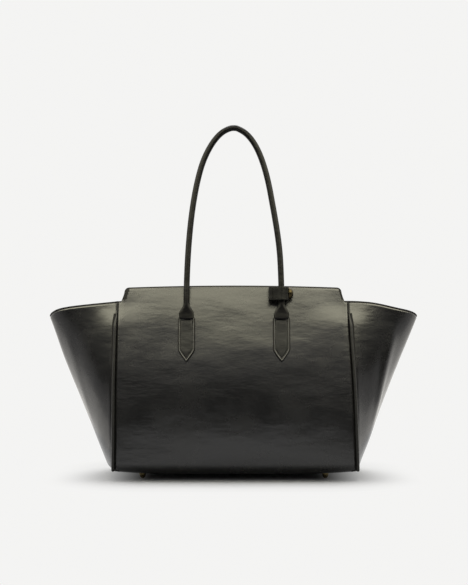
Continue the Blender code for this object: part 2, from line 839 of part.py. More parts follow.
def zip_sheet(name, half_length, height, near, far, ridge, finish_material):
    """A strip on the back lining; with a ridge, its middle stands proud as the teeth."""
    steps = 10
    lifts = [(-height / 2, 0), (height / 2, 0)]
    if ridge:
        tooth = ZIP_TEETH_HEIGHT / 2
        lifts = [(-height / 2, 0), (-tooth, 0), (-tooth, ridge), (tooth, ridge), (tooth, 0), (height / 2, 0)]
    outer = []
    inner = []
    for rise, extra in lifts:
        xs = [lerp(-half_length, half_length, step / steps) for step in range(steps + 1)]
        inner.append([zip_point(x, ZIP_HEIGHT + rise, far + extra) for x in xs])
        outer.append([zip_point(x, ZIP_HEIGHT + rise, near) for x in xs])
    if not ridge:
        return shell(name, outer, inner, finish_material)
    mesh = bmesh.new()
    rows = inner + [outer[-1], outer[0]]
    made = [[mesh.verts.new(point) for point in row] for row in rows]
    add_grid(mesh, made + [made[0]])
    mesh.faces.new([row[0] for row in made])
    mesh.faces.new([row[-1] for row in made])
    return finish(name, mesh, finish_material)


def box_between(name, low, high, bevel, finish_material):
    mesh = bmesh.new()
    bmesh.ops.create_cube(mesh, size=1)
    size = [b - a for a, b in zip(low, high)]
    middle = [lerp(a, b, 0.5) for a, b in zip(low, high)]
    bmesh.ops.scale(mesh, vec=size, verts=mesh.verts)
    bmesh.ops.translate(mesh, vec=middle, verts=mesh.verts)
    bmesh.ops.bevel(mesh, geom=mesh.edges, offset=bevel, segments=2, affect="EDGES")
    return finish(name, mesh, finish_material)


def make_zip():
    zip_sheet("zip_tape", ZIP_HALF_LENGTH, ZIP_TAPE_HEIGHT, 0, ZIP_TAPE, ZIP_TEETH, zip_cloth())
    far = ZIP_TAPE + ZIP_TEETH
    reach = SLIDER_START + SLIDER_LENGTH
    edges = (ZIP_HEIGHT - SLIDER_WIDTH / 2, ZIP_HEIGHT + SLIDER_WIDTH / 2)
    slider_y = min(zip_point(reach, z, far + GAP)[1] for z in edges)
    low = (-SLIDER_START - SLIDER_LENGTH / 2, slider_y - SLIDER_THICKNESS, ZIP_HEIGHT - SLIDER_WIDTH / 2)
    high = (-SLIDER_START + SLIDER_LENGTH / 2, slider_y, ZIP_HEIGHT + SLIDER_WIDTH / 2)
    box_between("zip_slider", low, high, SLIDER_THICKNESS / 4, brass())
    pull_y = slider_y - SLIDER_THICKNESS - GAP
    low = (-SLIDER_START - PULL_WIDTH / 2, pull_y - PULL_THICKNESS, ZIP_HEIGHT - PULL_LENGTH)
    high = (-SLIDER_START + PULL_WIDTH / 2, pull_y, ZIP_HEIGHT + PULL_THICKNESS / 2)
    pull = box_between("zip_pull", low, high, PULL_THICKNESS / 4, facing_leather())
    hinge = Vector((-SLIDER_START, pull_y - PULL_THICKNESS / 2, ZIP_HEIGHT))
    pull.data.transform(Matrix.Translation(-hinge))
    pull.location = hinge


def make_magnets():
    """Two discs on the facings; one has a nose and the other a dimple for it."""
    depth = LEATHER + GAP + FACING + MAGNET_SEAT
    y = half_depth(0, MAGNET_HEIGHT) - depth
    slope = (half_depth(0, MAGNET_HEIGHT + MAGNET_RADIUS) - half_depth(0, MAGNET_HEIGHT - MAGNET_RADIUS)) / (
        2 * MAGNET_RADIUS
    )
    rim = MAGNET_THICKNESS / 4
    nose_profile = [
        (0, 0),
        (MAGNET_RADIUS, 0),
        (MAGNET_RADIUS, MAGNET_THICKNESS - rim),
        (MAGNET_RADIUS - rim, MAGNET_THICKNESS),
        (MAGNET_NOSE_RADIUS, MAGNET_THICKNESS),
        (MAGNET_NOSE_RADIUS - rim, MAGNET_THICKNESS + MAGNET_NOSE),
        (0, MAGNET_THICKNESS + MAGNET_NOSE),
    ]
    bore = MAGNET_NOSE_RADIUS + HOLE_CLEARANCE
    dimple_profile = [
        (0, 0),
        (MAGNET_RADIUS, 0),
        (MAGNET_RADIUS, MAGNET_THICKNESS - rim),
        (MAGNET_RADIUS - rim, MAGNET_THICKNESS),
        (bore, MAGNET_THICKNESS),
        (bore, rim),
        (0, rim),
    ]
    turned("magnet_front", nose_profile, brass(), (0, -y, MAGNET_HEIGHT), (0, 1, slope))
    turned("magnet_back", dimple_profile, brass(), (0, y, MAGNET_HEIGHT), (0, -1, slope))


def build():
    for old in list(bpy.data.objects):
        bpy.data.objects.remove(old, do_unlink=True)
    make_panels()
    make_gussets()
    make_base()
    make_feet()
    make_linings()
    make_piping()
    make_handle("front_handle", FRONT, HANDLE_STAND_ANGLE)
    make_handle("back_handle", BACK, HANDLE_HANG_ANGLE)
    make_handle_tabs()
    make_keeper()
    make_zip()
    make_magnets()


build()
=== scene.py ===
# A black leather tote bag with winged gussets: its finish, seams, stitches, edges and fittings.
import math

import bmesh
import bpy
from mathutils import Matrix, Vector, noise


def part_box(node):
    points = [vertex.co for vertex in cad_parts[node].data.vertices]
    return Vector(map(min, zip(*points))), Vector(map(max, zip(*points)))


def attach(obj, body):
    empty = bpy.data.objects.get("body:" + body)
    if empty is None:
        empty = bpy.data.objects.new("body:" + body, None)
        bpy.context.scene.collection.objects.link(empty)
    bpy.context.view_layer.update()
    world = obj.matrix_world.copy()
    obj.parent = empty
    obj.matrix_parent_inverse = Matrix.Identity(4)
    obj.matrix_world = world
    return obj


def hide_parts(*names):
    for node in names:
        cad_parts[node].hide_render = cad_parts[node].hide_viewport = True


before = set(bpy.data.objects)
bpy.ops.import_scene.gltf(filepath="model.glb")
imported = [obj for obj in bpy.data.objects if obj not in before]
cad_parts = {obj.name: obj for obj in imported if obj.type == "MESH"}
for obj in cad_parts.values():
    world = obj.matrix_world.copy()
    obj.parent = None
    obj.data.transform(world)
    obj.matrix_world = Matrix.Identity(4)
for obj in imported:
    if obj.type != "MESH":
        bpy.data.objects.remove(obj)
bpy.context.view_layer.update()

# Sizes read from the frame, in metres
RIM_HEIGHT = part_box("front_panel")[1].z
PANEL_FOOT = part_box("front_panel")[0].z
SEAM_BASE_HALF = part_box("front_panel")[1].x
SEAM_TOP_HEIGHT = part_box("right_gusset")[1].z

# The leather and what lies behind it
LEATHER = 0.002
LINING = 0.0007
FACING = 0.0012
FACING_HEIGHT = 0.032
GAP = 0.00035
BEHIND_LEATHER = LEATHER + GAP
EDGE_ROUND = 0.0005

# Which way each wall, handle or wing looks
FRONT, BACK, LEFT, RIGHT = -1, 1, -1, 1
ENDS = ((FRONT, "front"), (BACK, "back"))
SIDES = ((LEFT, "left"), (RIGHT, "right"))


# Shader sums


class Value:
    """A shader socket that takes part in sums."""

    def __init__(self, shop, socket):
        self.shop = shop
        self.socket = socket

    def sum_with(self, operation, other):
        return self.shop.node("ShaderNodeMath", {"operation": operation}, {0: self, 1: other})

    def __add__(self, other):
        return self.sum_with("ADD", other)

    def __mul__(self, other):
        return self.sum_with("MULTIPLY", other)

    __radd__ = __add__
    __rmul__ = __mul__


class Finish:
    """A finish under construction: its nodes, and the shader at their end."""

    def __init__(self, name, owner=None):
        self.material = owner or bpy.data.materials.new(name)
        self.material.use_nodes = True
        self.nodes = self.material.node_tree.nodes
        self.links = self.material.node_tree.links

    def node(self, kind, settings=None, inputs=None, output=0):
        made = self.nodes.new(kind)
        for key, value in (settings or {}).items():
            setattr(made, key, value)
        for key, value in (inputs or {}).items():
            self.feed(made.inputs[key], value)
        return Value(self, made.outputs[output])

    def feed(self, socket, value):
        if isinstance(value, Value):
            self.links.new(value.socket, socket)
        else:
            socket.default_value = value

    def set(self, **values):
        """Constants and links for the shader, by its sockets' names with underscores."""
        shader = self.nodes["Principled BSDF"]
        for key, value in values.items():
            self.feed(shader.inputs[key.replace("_", " ")], value)
        return self.material

    def close(self, shader):
        """Puts a shader at the surface in place of the first one."""
        ends = [node for node in self.nodes if node.type.startswith("OUTPUT")]
        self.links.new(shader.socket, ends[0].inputs["Surface"])

    def place(self):
        return self.node("ShaderNodeTexCoord", output="Object")

    def along(self, vector, scale, turn=(0, 0, 0)):
        return self.node("ShaderNodeMapping", {}, {"Vector": vector, "Scale": scale, "Rotation": turn})

    def cloud(self, vector, scale, detail=2.0, rough=0.5):
        inputs = {"Vector": vector, "Scale": scale, "Detail": detail, "Roughness": rough}
        return self.node("ShaderNodeTexNoise", {}, inputs)

    def bands(self, vector, scale, direction="DIAGONAL"):
        inputs = {"Vector": vector, "Scale": scale}
        return self.node("ShaderNodeTexWave", {"bands_direction": direction}, inputs)

    def map(self, value, low, high, to_low=0.0, to_high=1.0, kind="LINEAR"):
        inputs = {"Value": value, "From Min": low, "From Max": high, "To Min": to_low, "To Max": to_high}
        return self.node("ShaderNodeMapRange", {"clamp": True, "interpolation_type": kind}, inputs)

    def blend(self, share, first, second):
        inputs = {0: share, 6: (*first, 1.0), 7: (*second, 1.0)}
        return self.node("ShaderNodeMix", {"data_type": "RGBA"}, inputs, 2)

    def bump(self, height, distance, strength=1.0, normal=None):
        inputs = {"Height": height, "Distance": distance, "Strength": strength}
        if normal is not None:
            inputs["Normal"] = normal
        return self.node("ShaderNodeBump", {}, inputs)


def smooth_leather(name, dark, light, roughness, grain=1.0, specular=0.5, coat=0.2):
    """Polished calf: faint mottling, soft creases and a fine pore."""
    made = Finish(name)
    place = made.place()
    mottle = made.cloud(place, 22.0, 4.0, 0.6)
    creases = made.cloud(made.along(place, (24.0, 24.0, 58.0)), 1.0, 4.0, 0.55)
    inputs = {"Vector": place, "Scale": 1500.0}
    cells = made.node("ShaderNodeTexVoronoi", {"feature": "DISTANCE_TO_EDGE"}, inputs)
    pores = made.map(cells, 0.0, 0.12) * 0.6 + made.cloud(place, 900.0, 2.0, 0.6) * 0.4
    soft = made.bump(creases, 0.0013, 0.6 * grain)
    return made.set(
        Base_Color=made.blend(made.map(mottle, 0.35, 0.7), dark, light),
        Roughness=made.map(mottle, 0.3, 0.7, roughness - 0.03, roughness + 0.05),
        Normal=made.bump(pores, 0.00002, 0.55 * grain, soft),
        IOR=1.5,
        Specular_IOR_Level=specular,
        Coat_Weight=coat,
        Coat_Roughness=0.19,
    )


def painted_edge():
    """The black paint that seals a cut edge, thick and slightly wavy."""
    made = Finish("edge_paint")
    waves = made.cloud(made.place(), 240.0)
    return made.set(
        Base_Color=made.blend(made.map(waves, 0.3, 0.7), (0.006, 0.006, 0.006), (0.013, 0.012, 0.011)),
        Roughness=made.map(waves, 0.3, 0.7, 0.48, 0.6),
        Normal=made.bump(waves, 0.0003, 0.4),
        Specular_IOR_Level=0.14,
    )


def waxed_thread(name, colour, shine=0.25):
    """Twisted thread: its plies are bumped, and painted lighter on their turns and darker between them as
    highlight and shade.
    """
    made = Finish(name)
    twist = made.bands(made.place(), 620.0)
    return made.set(
        # Painted highlight and shade along the plies
        Base_Color=made.blend(twist, [part * 0.45 for part in colour], colour),
        Roughness=made.map(twist, 0.0, 1.0, 0.6, 0.45),
        Normal=made.bump(twist, 0.0002, 0.6),
        Specular_IOR_Level=shine,
    )


def plain_cloth():
    """Fine twill lining with its threads and a little unevenness."""
    made = Finish("lining_twill")
    place = made.place()
    turned = made.along(place, (1.0, 1.0, 1.0), (0.0, 0.0, math.radians(45)))
    height = made.bands(place, 420.0) * 0.65 + made.bands(turned, 700.0, "Z") * 0.35
    cloud = made.cloud(place, 60.0, 3.0, 0.6)
    shade = made.map(height * 0.12 + cloud, 0.3, 0.8)
    return made.set(
        Base_Color=made.blend(shade, (0.015, 0.014, 0.014), (0.030, 0.027, 0.025)),
        Roughness=made.map(cloud, 0.3, 0.7, 0.72, 0.86),
        Normal=made.bump(height, 0.0001, 0.25),
        Sheen_Weight=0.25,
    )


def warm_brass(name, light, dark):
    """Polished brass with faint turning marks and handling smears."""
    made = Finish(name)
    place = made.place()
    smear = made.cloud(place, 260.0, 3.0, 0.6)
    marks = made.cloud(made.along(place, (300.0, 300.0, 2400.0)), 1.0)
    return made.set(
        Base_Color=made.blend(made.map(smear, 0.3, 0.75), light, dark),
        Metallic=1.0,
        Roughness=made.map(smear, 0.3, 0.7, 0.2, 0.36),
        Normal=made.bump(marks, 0.00004, 0.4),
    )


def dull_nickel():
    """Plated steel, dulled in soft smears."""
    made = Finish("dull_nickel")
    smear = made.cloud(made.place(), 320.0, 3.0, 0.6)
    return made.set(
        Base_Color=made.blend(made.map(smear, 0.3, 0.7), (0.24, 0.23, 0.22), (0.15, 0.14, 0.13)),
        Metallic=1.0,
        Roughness=made.map(smear, 0.3, 0.7, 0.3, 0.48),
    )


def pressed_board():
    """Grey-brown pressed fibre."""
    made = Finish("pressed_board")
    fibres = made.cloud(made.along(made.place(), (260.0, 900.0, 900.0)), 1.0, 4.0, 0.7)
    return made.set(
        Base_Color=made.blend(made.map(fibres, 0.3, 0.7), (0.24, 0.20, 0.15), (0.13, 0.11, 0.08)),
        Roughness=made.map(fibres, 0.3, 0.7, 0.85, 0.95),
        Normal=made.bump(fibres, 0.0002, 0.5),
    )


def woven_tape():
    """Black zip tape, woven in fine ribs."""
    made = Finish("woven_tape")
    ribs = made.bands(made.place(), 760.0, "X")
    return made.set(
        Base_Color=made.blend(ribs, (0.008, 0.008, 0.008), (0.022, 0.021, 0.021)),
        Roughness=made.map(ribs, 0.0, 1.0, 0.85, 0.7),
        Normal=made.bump(ribs, 0.0002, 0.6),
    )


BLACK = (0.0045, 0.0044, 0.0042)
WORN_BLACK = (0.0080, 0.0078, 0.0074)


class Finishes:
    """Every finish of the bag, made once."""

    def __init__(self):
        self.calf = smooth_leather("smooth_calf", (0.0040, 0.0039, 0.0038), (0.0070, 0.0068, 0.0066), 0.25)
        self.rolled = smooth_leather(
            "rolled_calf", (0.0050, 0.0046, 0.0044), (0.0080, 0.0074, 0.0070), 0.28, specular=0.11, coat=0.0
        )
        self.cord = smooth_leather(
            "piping_calf", BLACK, (0.0075, 0.0073, 0.0070), 0.42, specular=0.3, coat=0.0
        )
        self.tab = smooth_leather("tab_calf", BLACK, WORN_BLACK, 0.40, grain=1.6, specular=0.3, coat=0.0)
        self.strap = smooth_leather("strap_calf", BLACK, WORN_BLACK, 0.28, grain=1.2, specular=0.1, coat=0.0)
        # The creased line inside each tab's edge: glossier leather, and painted lighter than the tab as a
        # highlight
        self.crease_and_highlight = smooth_leather(
            "creased_calf_painted_highlight", (0.022, 0.021, 0.020), (0.032, 0.031, 0.028), 0.42, specular=1.0, coat=0.3
        )
        self.facing = smooth_leather("facing_calf", (0.0090, 0.0086, 0.0084), (0.0135, 0.0130, 0.0125), 0.48)
        self.flesh = smooth_leather(
            "flesh_side", (0.14, 0.125, 0.12), (0.20, 0.18, 0.175), 0.85, grain=2.0, specular=0.3, coat=0.0
        )
        self.edge = painted_edge()
        self.thread = waxed_thread("black_thread", (0.040, 0.038, 0.034))
        # The tabs' black thread, painted lighter grey to stand for its highlights
        self.tab_thread = waxed_thread("tab_thread", (0.12, 0.116, 0.105), 0.6)
        self.lining = plain_cloth()
        self.brass = warm_brass("warm_brass", (0.20, 0.160, 0.080), (0.11, 0.082, 0.036))
        # The snap dome's brass, painted dark to stand for the dark surroundings it reflects: painted shade
        self.brass_painted_shade = warm_brass("brass_painted_shade", (0.055, 0.044, 0.022), (0.016, 0.012, 0.006))
        self.nickel = dull_nickel()
        self.board = pressed_board()
        self.tape = woven_tape()


# Shaping


def lerp(start, end, share):
    return start + (end - start) * share


def smooth(share):
    share = min(max(share, 0.0), 1.0)
    return share * share * (3.0 - 2.0 * share)


def rise(value, start, length):
    """A smooth step from 0 to 1 that begins at start and takes a length."""
    return smooth((value - start) / length)


def fall(value, start, length):
    """A smooth step from 1 down to 0."""
    return 1 - rise(value, start, length)


def hump(value, middle, width):
    """A soft hump, 1 at its middle."""
    return math.exp(-(((value - middle) / width) ** 2))


def close_up(place, *knots):
    """Closes up rows where leather turns: a line from 0 to 1 through knots of (place, share)."""
    before = (0.0, 0.0)
    for after in (*knots, (1.0, 1.0)):
        if place < after[0]:
            break
        before = after
    else:
        return 1.0
    return lerp(before[1], after[1], (place - before[0]) / (after[0] - before[0]))


def drift(point, size, height):
    """Gentle unevenness of soft leather, the same each run."""
    return noise.noise(Vector(point) / size) * height


def deselect():
    if bpy.context.mode != "OBJECT":
        bpy.ops.object.mode_set(mode="OBJECT")
    bpy.ops.object.select_all(action="DESELECT")


def take(piece):
    deselect()
    piece.select_set(True)
    bpy.context.view_layer.objects.active = piece


def rename(piece, name):
    piece.name = name
    piece.data.name = name
    return piece


def clean_shell(threshold, cap_ends=False):
    """Merges the doubles of the piece in hand and turns its faces outwards."""
    bpy.ops.object.mode_set(mode="EDIT")
    bpy.ops.mesh.select_all(action="SELECT")
    bpy.ops.mesh.remove_doubles(threshold=threshold)
    if cap_ends:
        bpy.ops.mesh.select_all(action="DESELECT")
        bpy.ops.mesh.select_non_manifold()
        bpy.ops.mesh.edge_face_add()
        bpy.ops.mesh.select_all(action="SELECT")
    bpy.ops.mesh.normals_make_consistent(inside=False)
    bpy.ops.object.mode_set(mode="OBJECT")


def settle(piece, smooth_angle=40.0):
    """Brings a piece's place into its mesh and shades it smooth."""
    take(piece)
    bpy.ops.object.transform_apply(location=True, rotation=True, scale=True)
    bpy.ops.object.shade_smooth_by_angle(angle=math.radians(smooth_angle))
    return piece


def modify(piece, kind, **settings):
    """Adds one modifier and applies it."""
    take(piece)
    made = piece.modifiers.new(kind.title(), kind)
    for key, value in settings.items():
        setattr(made, key, value)
    bpy.ops.object.modifier_apply(modifier=made.name)


def dress(piece, finishes, body, slot, *nodes):
    """Gives a finished piece its materials and body, and hides the nodes that it stands for; slot is not
    used.
    """
    for finish in finishes:
        piece.data.materials.append(finish)
    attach(piece, body)
    if nodes:
        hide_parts(*nodes)


def lay_grid(name, across, up, place):
    """A grid drawn over a surface; place takes u from -1 to 1 and v from 0 to 1."""
    deselect()
    bpy.ops.mesh.primitive_grid_add(x_subdivisions=across, y_subdivisions=up, size=2)
    piece = rename(bpy.context.object, name)
    for vert in piece.data.vertices:
        vert.co = place(vert.co.x, (vert.co.y + 1) / 2)
    return piece


def thicken(piece, thickness, edge_width, painted):
    """Gives a sheet its leather inside its face, and rounds the cut edge."""
    settings = {"thickness": thickness, "offset": -1.0, "use_even_offset": False}
    modify(piece, "SOLIDIFY", material_offset_rim=int(painted), **settings)
    if edge_width:
        limit = math.radians(50)
        modify(piece, "BEVEL", width=edge_width, segments=2, limit_method="ANGLE", angle_limit=limit)


def cut_leaf(name, grid, surface, outward, thickness, edge_width, dressing, paint=None):
    """A cut piece of leather or cloth; dressing is its finishes, body, slot and node.

    Paint takes a face's middle, column and row, and gives the number of its finish.
    """
    piece = lay_grid(name, *grid, surface)
    total = Vector()
    for face in piece.data.polygons:
        total += face.normal * face.area
    if total.dot(Vector(outward)) < 0:
        piece.data.flip_normals()
    if paint:
        for index, face in enumerate(piece.data.polygons):
            face.material_index = paint(face.center, index % grid[0], index // grid[0])
    thicken(piece, thickness, edge_width, len(dressing[0]) > 1)
    dress(settle(piece), *dressing)


# Surfaces of the body

BASE_DEPTH = 0.150
MOUTH_DEPTH = 0.100
PANEL_BELLY = 0.0167
BELLY_FADE = 0.5
SEAM_TOP_HALF = 0.148
SHOULDER_FOOT_HALF = 0.1434
SHOULDER_TOP_HALF = 0.1383
SHOULDER_CORNER = 0.0062
SHOULDER_BOW_OUT = 1.3
SHOULDER_BOW_UP = 0.9
RIM_CROWN = 0.0025
CORNER_FOOT = 0.0104
FOOT_ROLL = 0.013
FOOT_ROLL_SHARE = 0.75
SEAM_ROLL = 0.0030
SEAM_ROLL_SHARE = 0.9
SEAM_FLANGE = 0.0018
SEAM_PULL = 0.0030
RIM_STEP = 0.00060
SOFTNESS = 0.0007
BROAD_DRIFT = 0.075
FINE_DRIFT = 0.034
PANEL_SOFT_FROM_FOOT = 0.03

PIPING_RADIUS = 0.0021
PIPING_TOP_DROP = 0.0133
PIPING_TAPER = 0.020
PIPING_POINT = 0.0006
PIPING_FOOT = 0.0112
PIPING_CLEARANCE = 0.00005
PIPING_TAIL = PIPING_RADIUS / 12 + GAP - PIPING_CLEARANCE

WING_FOOT = 0.0075
WING_NOSE = 0.3
WING_TIP_AT_FLOOR = 0.1608
WING_TIP_DROP = 0.0193
WING_TIP_DIP = 0.0088
WING_FLARE = 0.0832
WING_TUCK = 0.0050
WING_RETURN = 0.0012
WING_BULGE = 0.0042
WING_RIDGE = 0.0014
WING_RIDGE_WIDTH = 0.09
WING_SWAY = 0.0018
WING_DRIFT = 0.55
WING_SOFT_FROM_FOOT = 0.02
WING_ROLL = 0.8 * FOOT_ROLL
# Each wing's fullness, how far out it is fullest, and the place and strength of its ridge
WING_STANCE = {LEFT: (1.1, 1.05, 0.78, 0.5), RIGHT: (1.35, 1.4, 0.66, 1.5)}

BASE_SAG = 0.0025

# How far the bag's ends lean to the left, at the floor and above, and how much less its tips do
LEAN_LOW = 0.0006
LEAN_HIGH = 0.0021
TIP_HOLD = 0.6
# How much further out the right seams stand, low and high
SWAY_LOW = 0.0050
SWAY_HIGH = 0.0013

# Smooth steps, each as where it begins and how long it is: up the walls,
LEAN_GROWS = (0, 0.14)
TIP_HOLDS = (0.15, 0.05)
SWAY_EASES = (0.10, 0.12)
PULL_GROWS = (0.197, 0.032)
BULGE_GROWS = (0, 0.06)
BULGE_EASES = (0.15, 0.08)
RIDGE_GROWS = (0.05, 0.06)
RIDGE_ENDS = (0.16, 0.05)
TUCK_ENDS = (SEAM_TOP_HEIGHT - 0.003, 0.003)
# down from the rim,
RIM_CREASE = (0.0022, 0.0014)
# across a panel from its middle at 0 to a seam at 1,
PULL_ACROSS = (0.55, 0.45)
SOFT_ACROSS = (0.94, 0.06)
# and out along a wing from its seam at 0 to its fold at 1
PULL_OUT = (0, 0.4)
SOFT_OUT = (0, 0.1)

# Where the parts of the rim meet, from its middle at 0 to the seam at 1
CROWN_END = 0.86
CORNER_END = 0.92
SHOULDER_END = 0.965
# Where columns and rows close up beside the seams, at the foot and at the rim
PANEL_COLUMNS = (0.92, SHOULDER_END)
WING_COLUMNS = (0.86, 0.968)
FOOT_ROWS = (0.1, 0.06)
RIM_ROWS = (0.88, 0.976)


def seam_half(z):
    return lerp(SEAM_BASE_HALF, SEAM_TOP_HALF, z / SEAM_TOP_HEIGHT)


def half_depth(across, z):
    share = z / RIM_HEIGHT
    lean = lerp(BASE_DEPTH / 2, MOUTH_DEPTH / 2, share)
    belly = 4 * PANEL_BELLY * share * (1 - share)
    return lean + belly * (1 - BELLY_FADE * across * across)


def panel_foot(across):
    return lerp(PANEL_FOOT, CORNER_FOOT, across ** 4)


def wing_foot(along):
    return lerp(WING_FOOT, CORNER_FOOT, along * along)


def rim_point(u):
    """The panel's upper edge from the left seam at -1 to the right at 1, as (x, z)."""
    corner_height = RIM_HEIGHT - RIM_CROWN
    slope = math.atan2(SHOULDER_FOOT_HALF - SHOULDER_TOP_HALF, corner_height - SEAM_TOP_HEIGHT)
    turn = math.pi / 2 - slope
    flat_end = SHOULDER_TOP_HALF - SHOULDER_CORNER * math.tan(turn / 2)
    place = abs(u)
    if place < CROWN_END:
        share = place / CROWN_END
        x, z = flat_end * share, lerp(RIM_HEIGHT, corner_height, share * share)
    elif place < SHOULDER_END:
        angle = turn * min((place - CROWN_END) / (CORNER_END - CROWN_END), 1.0)
        x = flat_end + SHOULDER_CORNER * math.sin(angle)
        z = corner_height - SHOULDER_CORNER * (1 - math.cos(angle))
        share = max((place - CORNER_END) / (SHOULDER_END - CORNER_END), 0.0)
        x = lerp(x, SHOULDER_FOOT_HALF, share ** SHOULDER_BOW_OUT)
        z = lerp(z, SEAM_TOP_HEIGHT + GAP, share ** SHOULDER_BOW_UP)
    else:
        share = (place - SHOULDER_END) / (1 - SHOULDER_END)
        x, z = lerp(SHOULDER_FOOT_HALF, SEAM_TOP_HALF, share), SEAM_TOP_HEIGHT
    return math.copysign(x, u), z


def shoulder_line(z):
    """How far out a panel reaches beside its shoulder at a height."""
    top = RIM_HEIGHT - RIM_CROWN
    share = (top - z) / (top - SEAM_TOP_HEIGHT)
    return lerp(SHOULDER_TOP_HALF, SHOULDER_FOOT_HALF, max(share, 0.0))


def under_rim(across):
    """The place along the panel's columns that lies over a share of its width."""
    low, high = 0.0, 1.0
    for _ in range(24):
        half = (low + high) / 2
        x, z = rim_point(half)
        if x / seam_half(z) < across:
            low = half
        else:
            high = half
    return low * PANEL_COLUMNS[0] / PANEL_COLUMNS[1]


def roll_in(distance, radius):
    """How far a surface has turned in at a distance from its edge."""
    left = max(radius - distance, 0.0)
    return radius - math.sqrt(max(radius * radius - left * left, 0.0))


def lean(z, out=0.0):
    """How far the ends of the soft bag lean to the left at a height; the wings' tips lean less."""
    grown = lerp(LEAN_LOW, LEAN_HIGH, rise(z, *LEAN_GROWS))
    return -grown * (1 - TIP_HOLD * out * rise(z, *TIP_HOLDS))


def seam_sway(side, z):
    """How far the right seams stand further out than the left ones at a height."""
    return lerp(SWAY_LOW, SWAY_HIGH, rise(z, *SWAY_EASES)) if side > 0 else 0.0


def seam_pull(z):
    """How far the seams are drawn in below the rim."""
    return SEAM_PULL * rise(z, *PULL_GROWS)


def rim_step(below):
    """The turned edge: thinner above its crease."""
    return RIM_STEP * fall(below, *RIM_CREASE)


def height_at(v, foot, rim, low, high):
    """The height of a row; low and high move the piece's lower and upper edge."""
    bottom = low(foot, rim) if low else foot
    top = high(rim) if high else rim
    return lerp(bottom, top, close_up(v, FOOT_ROWS, RIM_ROWS))


def panel_surface(side, u, v, depth=0.0, inset=0.0, low=None, high=None):
    """A point on the front or back panel at a depth inside its face."""
    x, rim = rim_point(math.copysign(close_up(abs(u), PANEL_COLUMNS), u))
    across = x / seam_half(rim) * (1 - inset / SEAM_TOP_HALF)
    foot = panel_foot(across)
    z = height_at(v, foot, rim, low, high)
    x = across * seam_half(z)
    soft = drift((x, side, z * 1.6), BROAD_DRIFT, SOFTNESS)
    soft += drift((x + 1, side, z * 1.4), FINE_DRIFT, SOFTNESS / 3)
    soft *= rise(z, foot, PANEL_SOFT_FROM_FOOT) * fall(abs(across), *SOFT_ACROSS)
    rolled = roll_in((1 - abs(across)) * seam_half(z), SEAM_ROLL)
    y = half_depth(across, z) + soft - depth
    y -= FOOT_ROLL_SHARE * roll_in(z - foot, FOOT_ROLL) + SEAM_ROLL_SHARE * rolled
    y -= seam_pull(z) * rise(abs(across), *PULL_ACROSS) + rim_step(rim - z) / 2
    x += math.copysign(SEAM_FLANGE * (rolled / SEAM_ROLL) ** 3, across)
    x += (lean(z) + seam_sway(across, z) * abs(across)) * across * across
    return Vector((x, side * y, z))


def piping_radius(z):
    share = (SEAM_TOP_HEIGHT - PIPING_TOP_DROP - z) / PIPING_TAPER
    return lerp(PIPING_POINT, PIPING_RADIUS, smooth(share))


def piping_centre(z):
    radius = piping_radius(z)
    return seam_half(z) + radius + GAP, half_depth(1, z) - LEATHER + radius - seam_pull(z)


def wing_seam(z):
    radius = piping_radius(z)
    return seam_half(z) + radius + GAP, half_depth(1, z) - LEATHER - radius / 6 - 2 * GAP


def wing_out(along):
    """How far out a wing is between its seams: 0 at a seam, 1 on its rounded fold; with its slope."""
    base = math.hypot(1, WING_NOSE) - WING_NOSE
    reach = math.hypot(along, WING_NOSE)
    return 1 - (reach - WING_NOSE) / base, along / reach / base


def wing_tip(z):
    return WING_TIP_AT_FLOOR + WING_FLARE * z / (SEAM_TOP_HEIGHT - WING_TIP_DROP)


def wing_tuck(distance):
    """How deep a wing dips beside its seam; its last strip comes back up to the panel."""
    tuck = SEAM_ROLL_SHARE * roll_in(max(distance, WING_RETURN), WING_TUCK)
    return tuck * min(distance / WING_RETURN, 1.0)


def wing_surface(side, u, v, depth=0.0, limit=1.0, low=None, high=None):
    """A point on a gusset at a depth inside its face; u runs from the front seam to the back one."""
    along = math.copysign(close_up(abs(u), WING_COLUMNS) ** 1.4, u) * limit
    out, slope = wing_out(along)
    fullness, power, ridge_place, ridge_strength = WING_STANCE[side]
    rim = SEAM_TOP_HEIGHT - (WING_TIP_DROP - WING_TIP_DIP) * out - WING_TIP_DIP * out ** 8
    if side == RIGHT:
        rim += WING_SWAY * math.sin(2 * math.pi * out)
    foot = wing_foot(along)
    z = height_at(v, foot, rim, low, high)
    seam_x, seam_y = wing_seam(z)
    spread = wing_tip(z) - seam_x
    normal = Vector((seam_y, spread * slope)).normalized()
    bulge = fullness * WING_BULGE * math.sin(math.pi * out ** power)
    bulge *= rise(z, *BULGE_GROWS) * (1 - rise(z, *BULGE_EASES) / 2)
    bulge -= seam_pull(z) * fall(out, *PULL_OUT)
    ridge = hump(out, ridge_place, WING_RIDGE_WIDTH) * rise(z, *RIDGE_GROWS) * fall(z, *RIDGE_ENDS)
    bulge += WING_RIDGE * ridge_strength * ridge
    soft = drift((side * out, along, z * 9), WING_DRIFT, SOFTNESS)
    soft *= rise(z, foot, WING_SOFT_FROM_FOOT) * rise(out, *SOFT_OUT)
    inward = depth - bulge - soft + rim_step(rim - z)
    inward += FOOT_ROLL_SHARE * roll_in(z - foot, WING_ROLL)
    inward += wing_tuck(out * spread) * fall(z, *TUCK_ENDS)
    x = seam_x + spread * out - normal.x * inward
    x = side * x + lean(z, out) + seam_sway(side, z) * (1 - out) ** 1.5
    return Vector((x, seam_y * along - normal.y * inward, z))


def base_height(across, along):
    end_rise = WING_FOOT - BASE_SAG
    side_rise = PANEL_FOOT - BASE_SAG
    twist = CORNER_FOOT - BASE_SAG - end_rise - side_rise
    square_x, square_y = across * across, along * along
    return BASE_SAG + end_rise * square_x + side_rise * square_y + twist * square_x * square_y


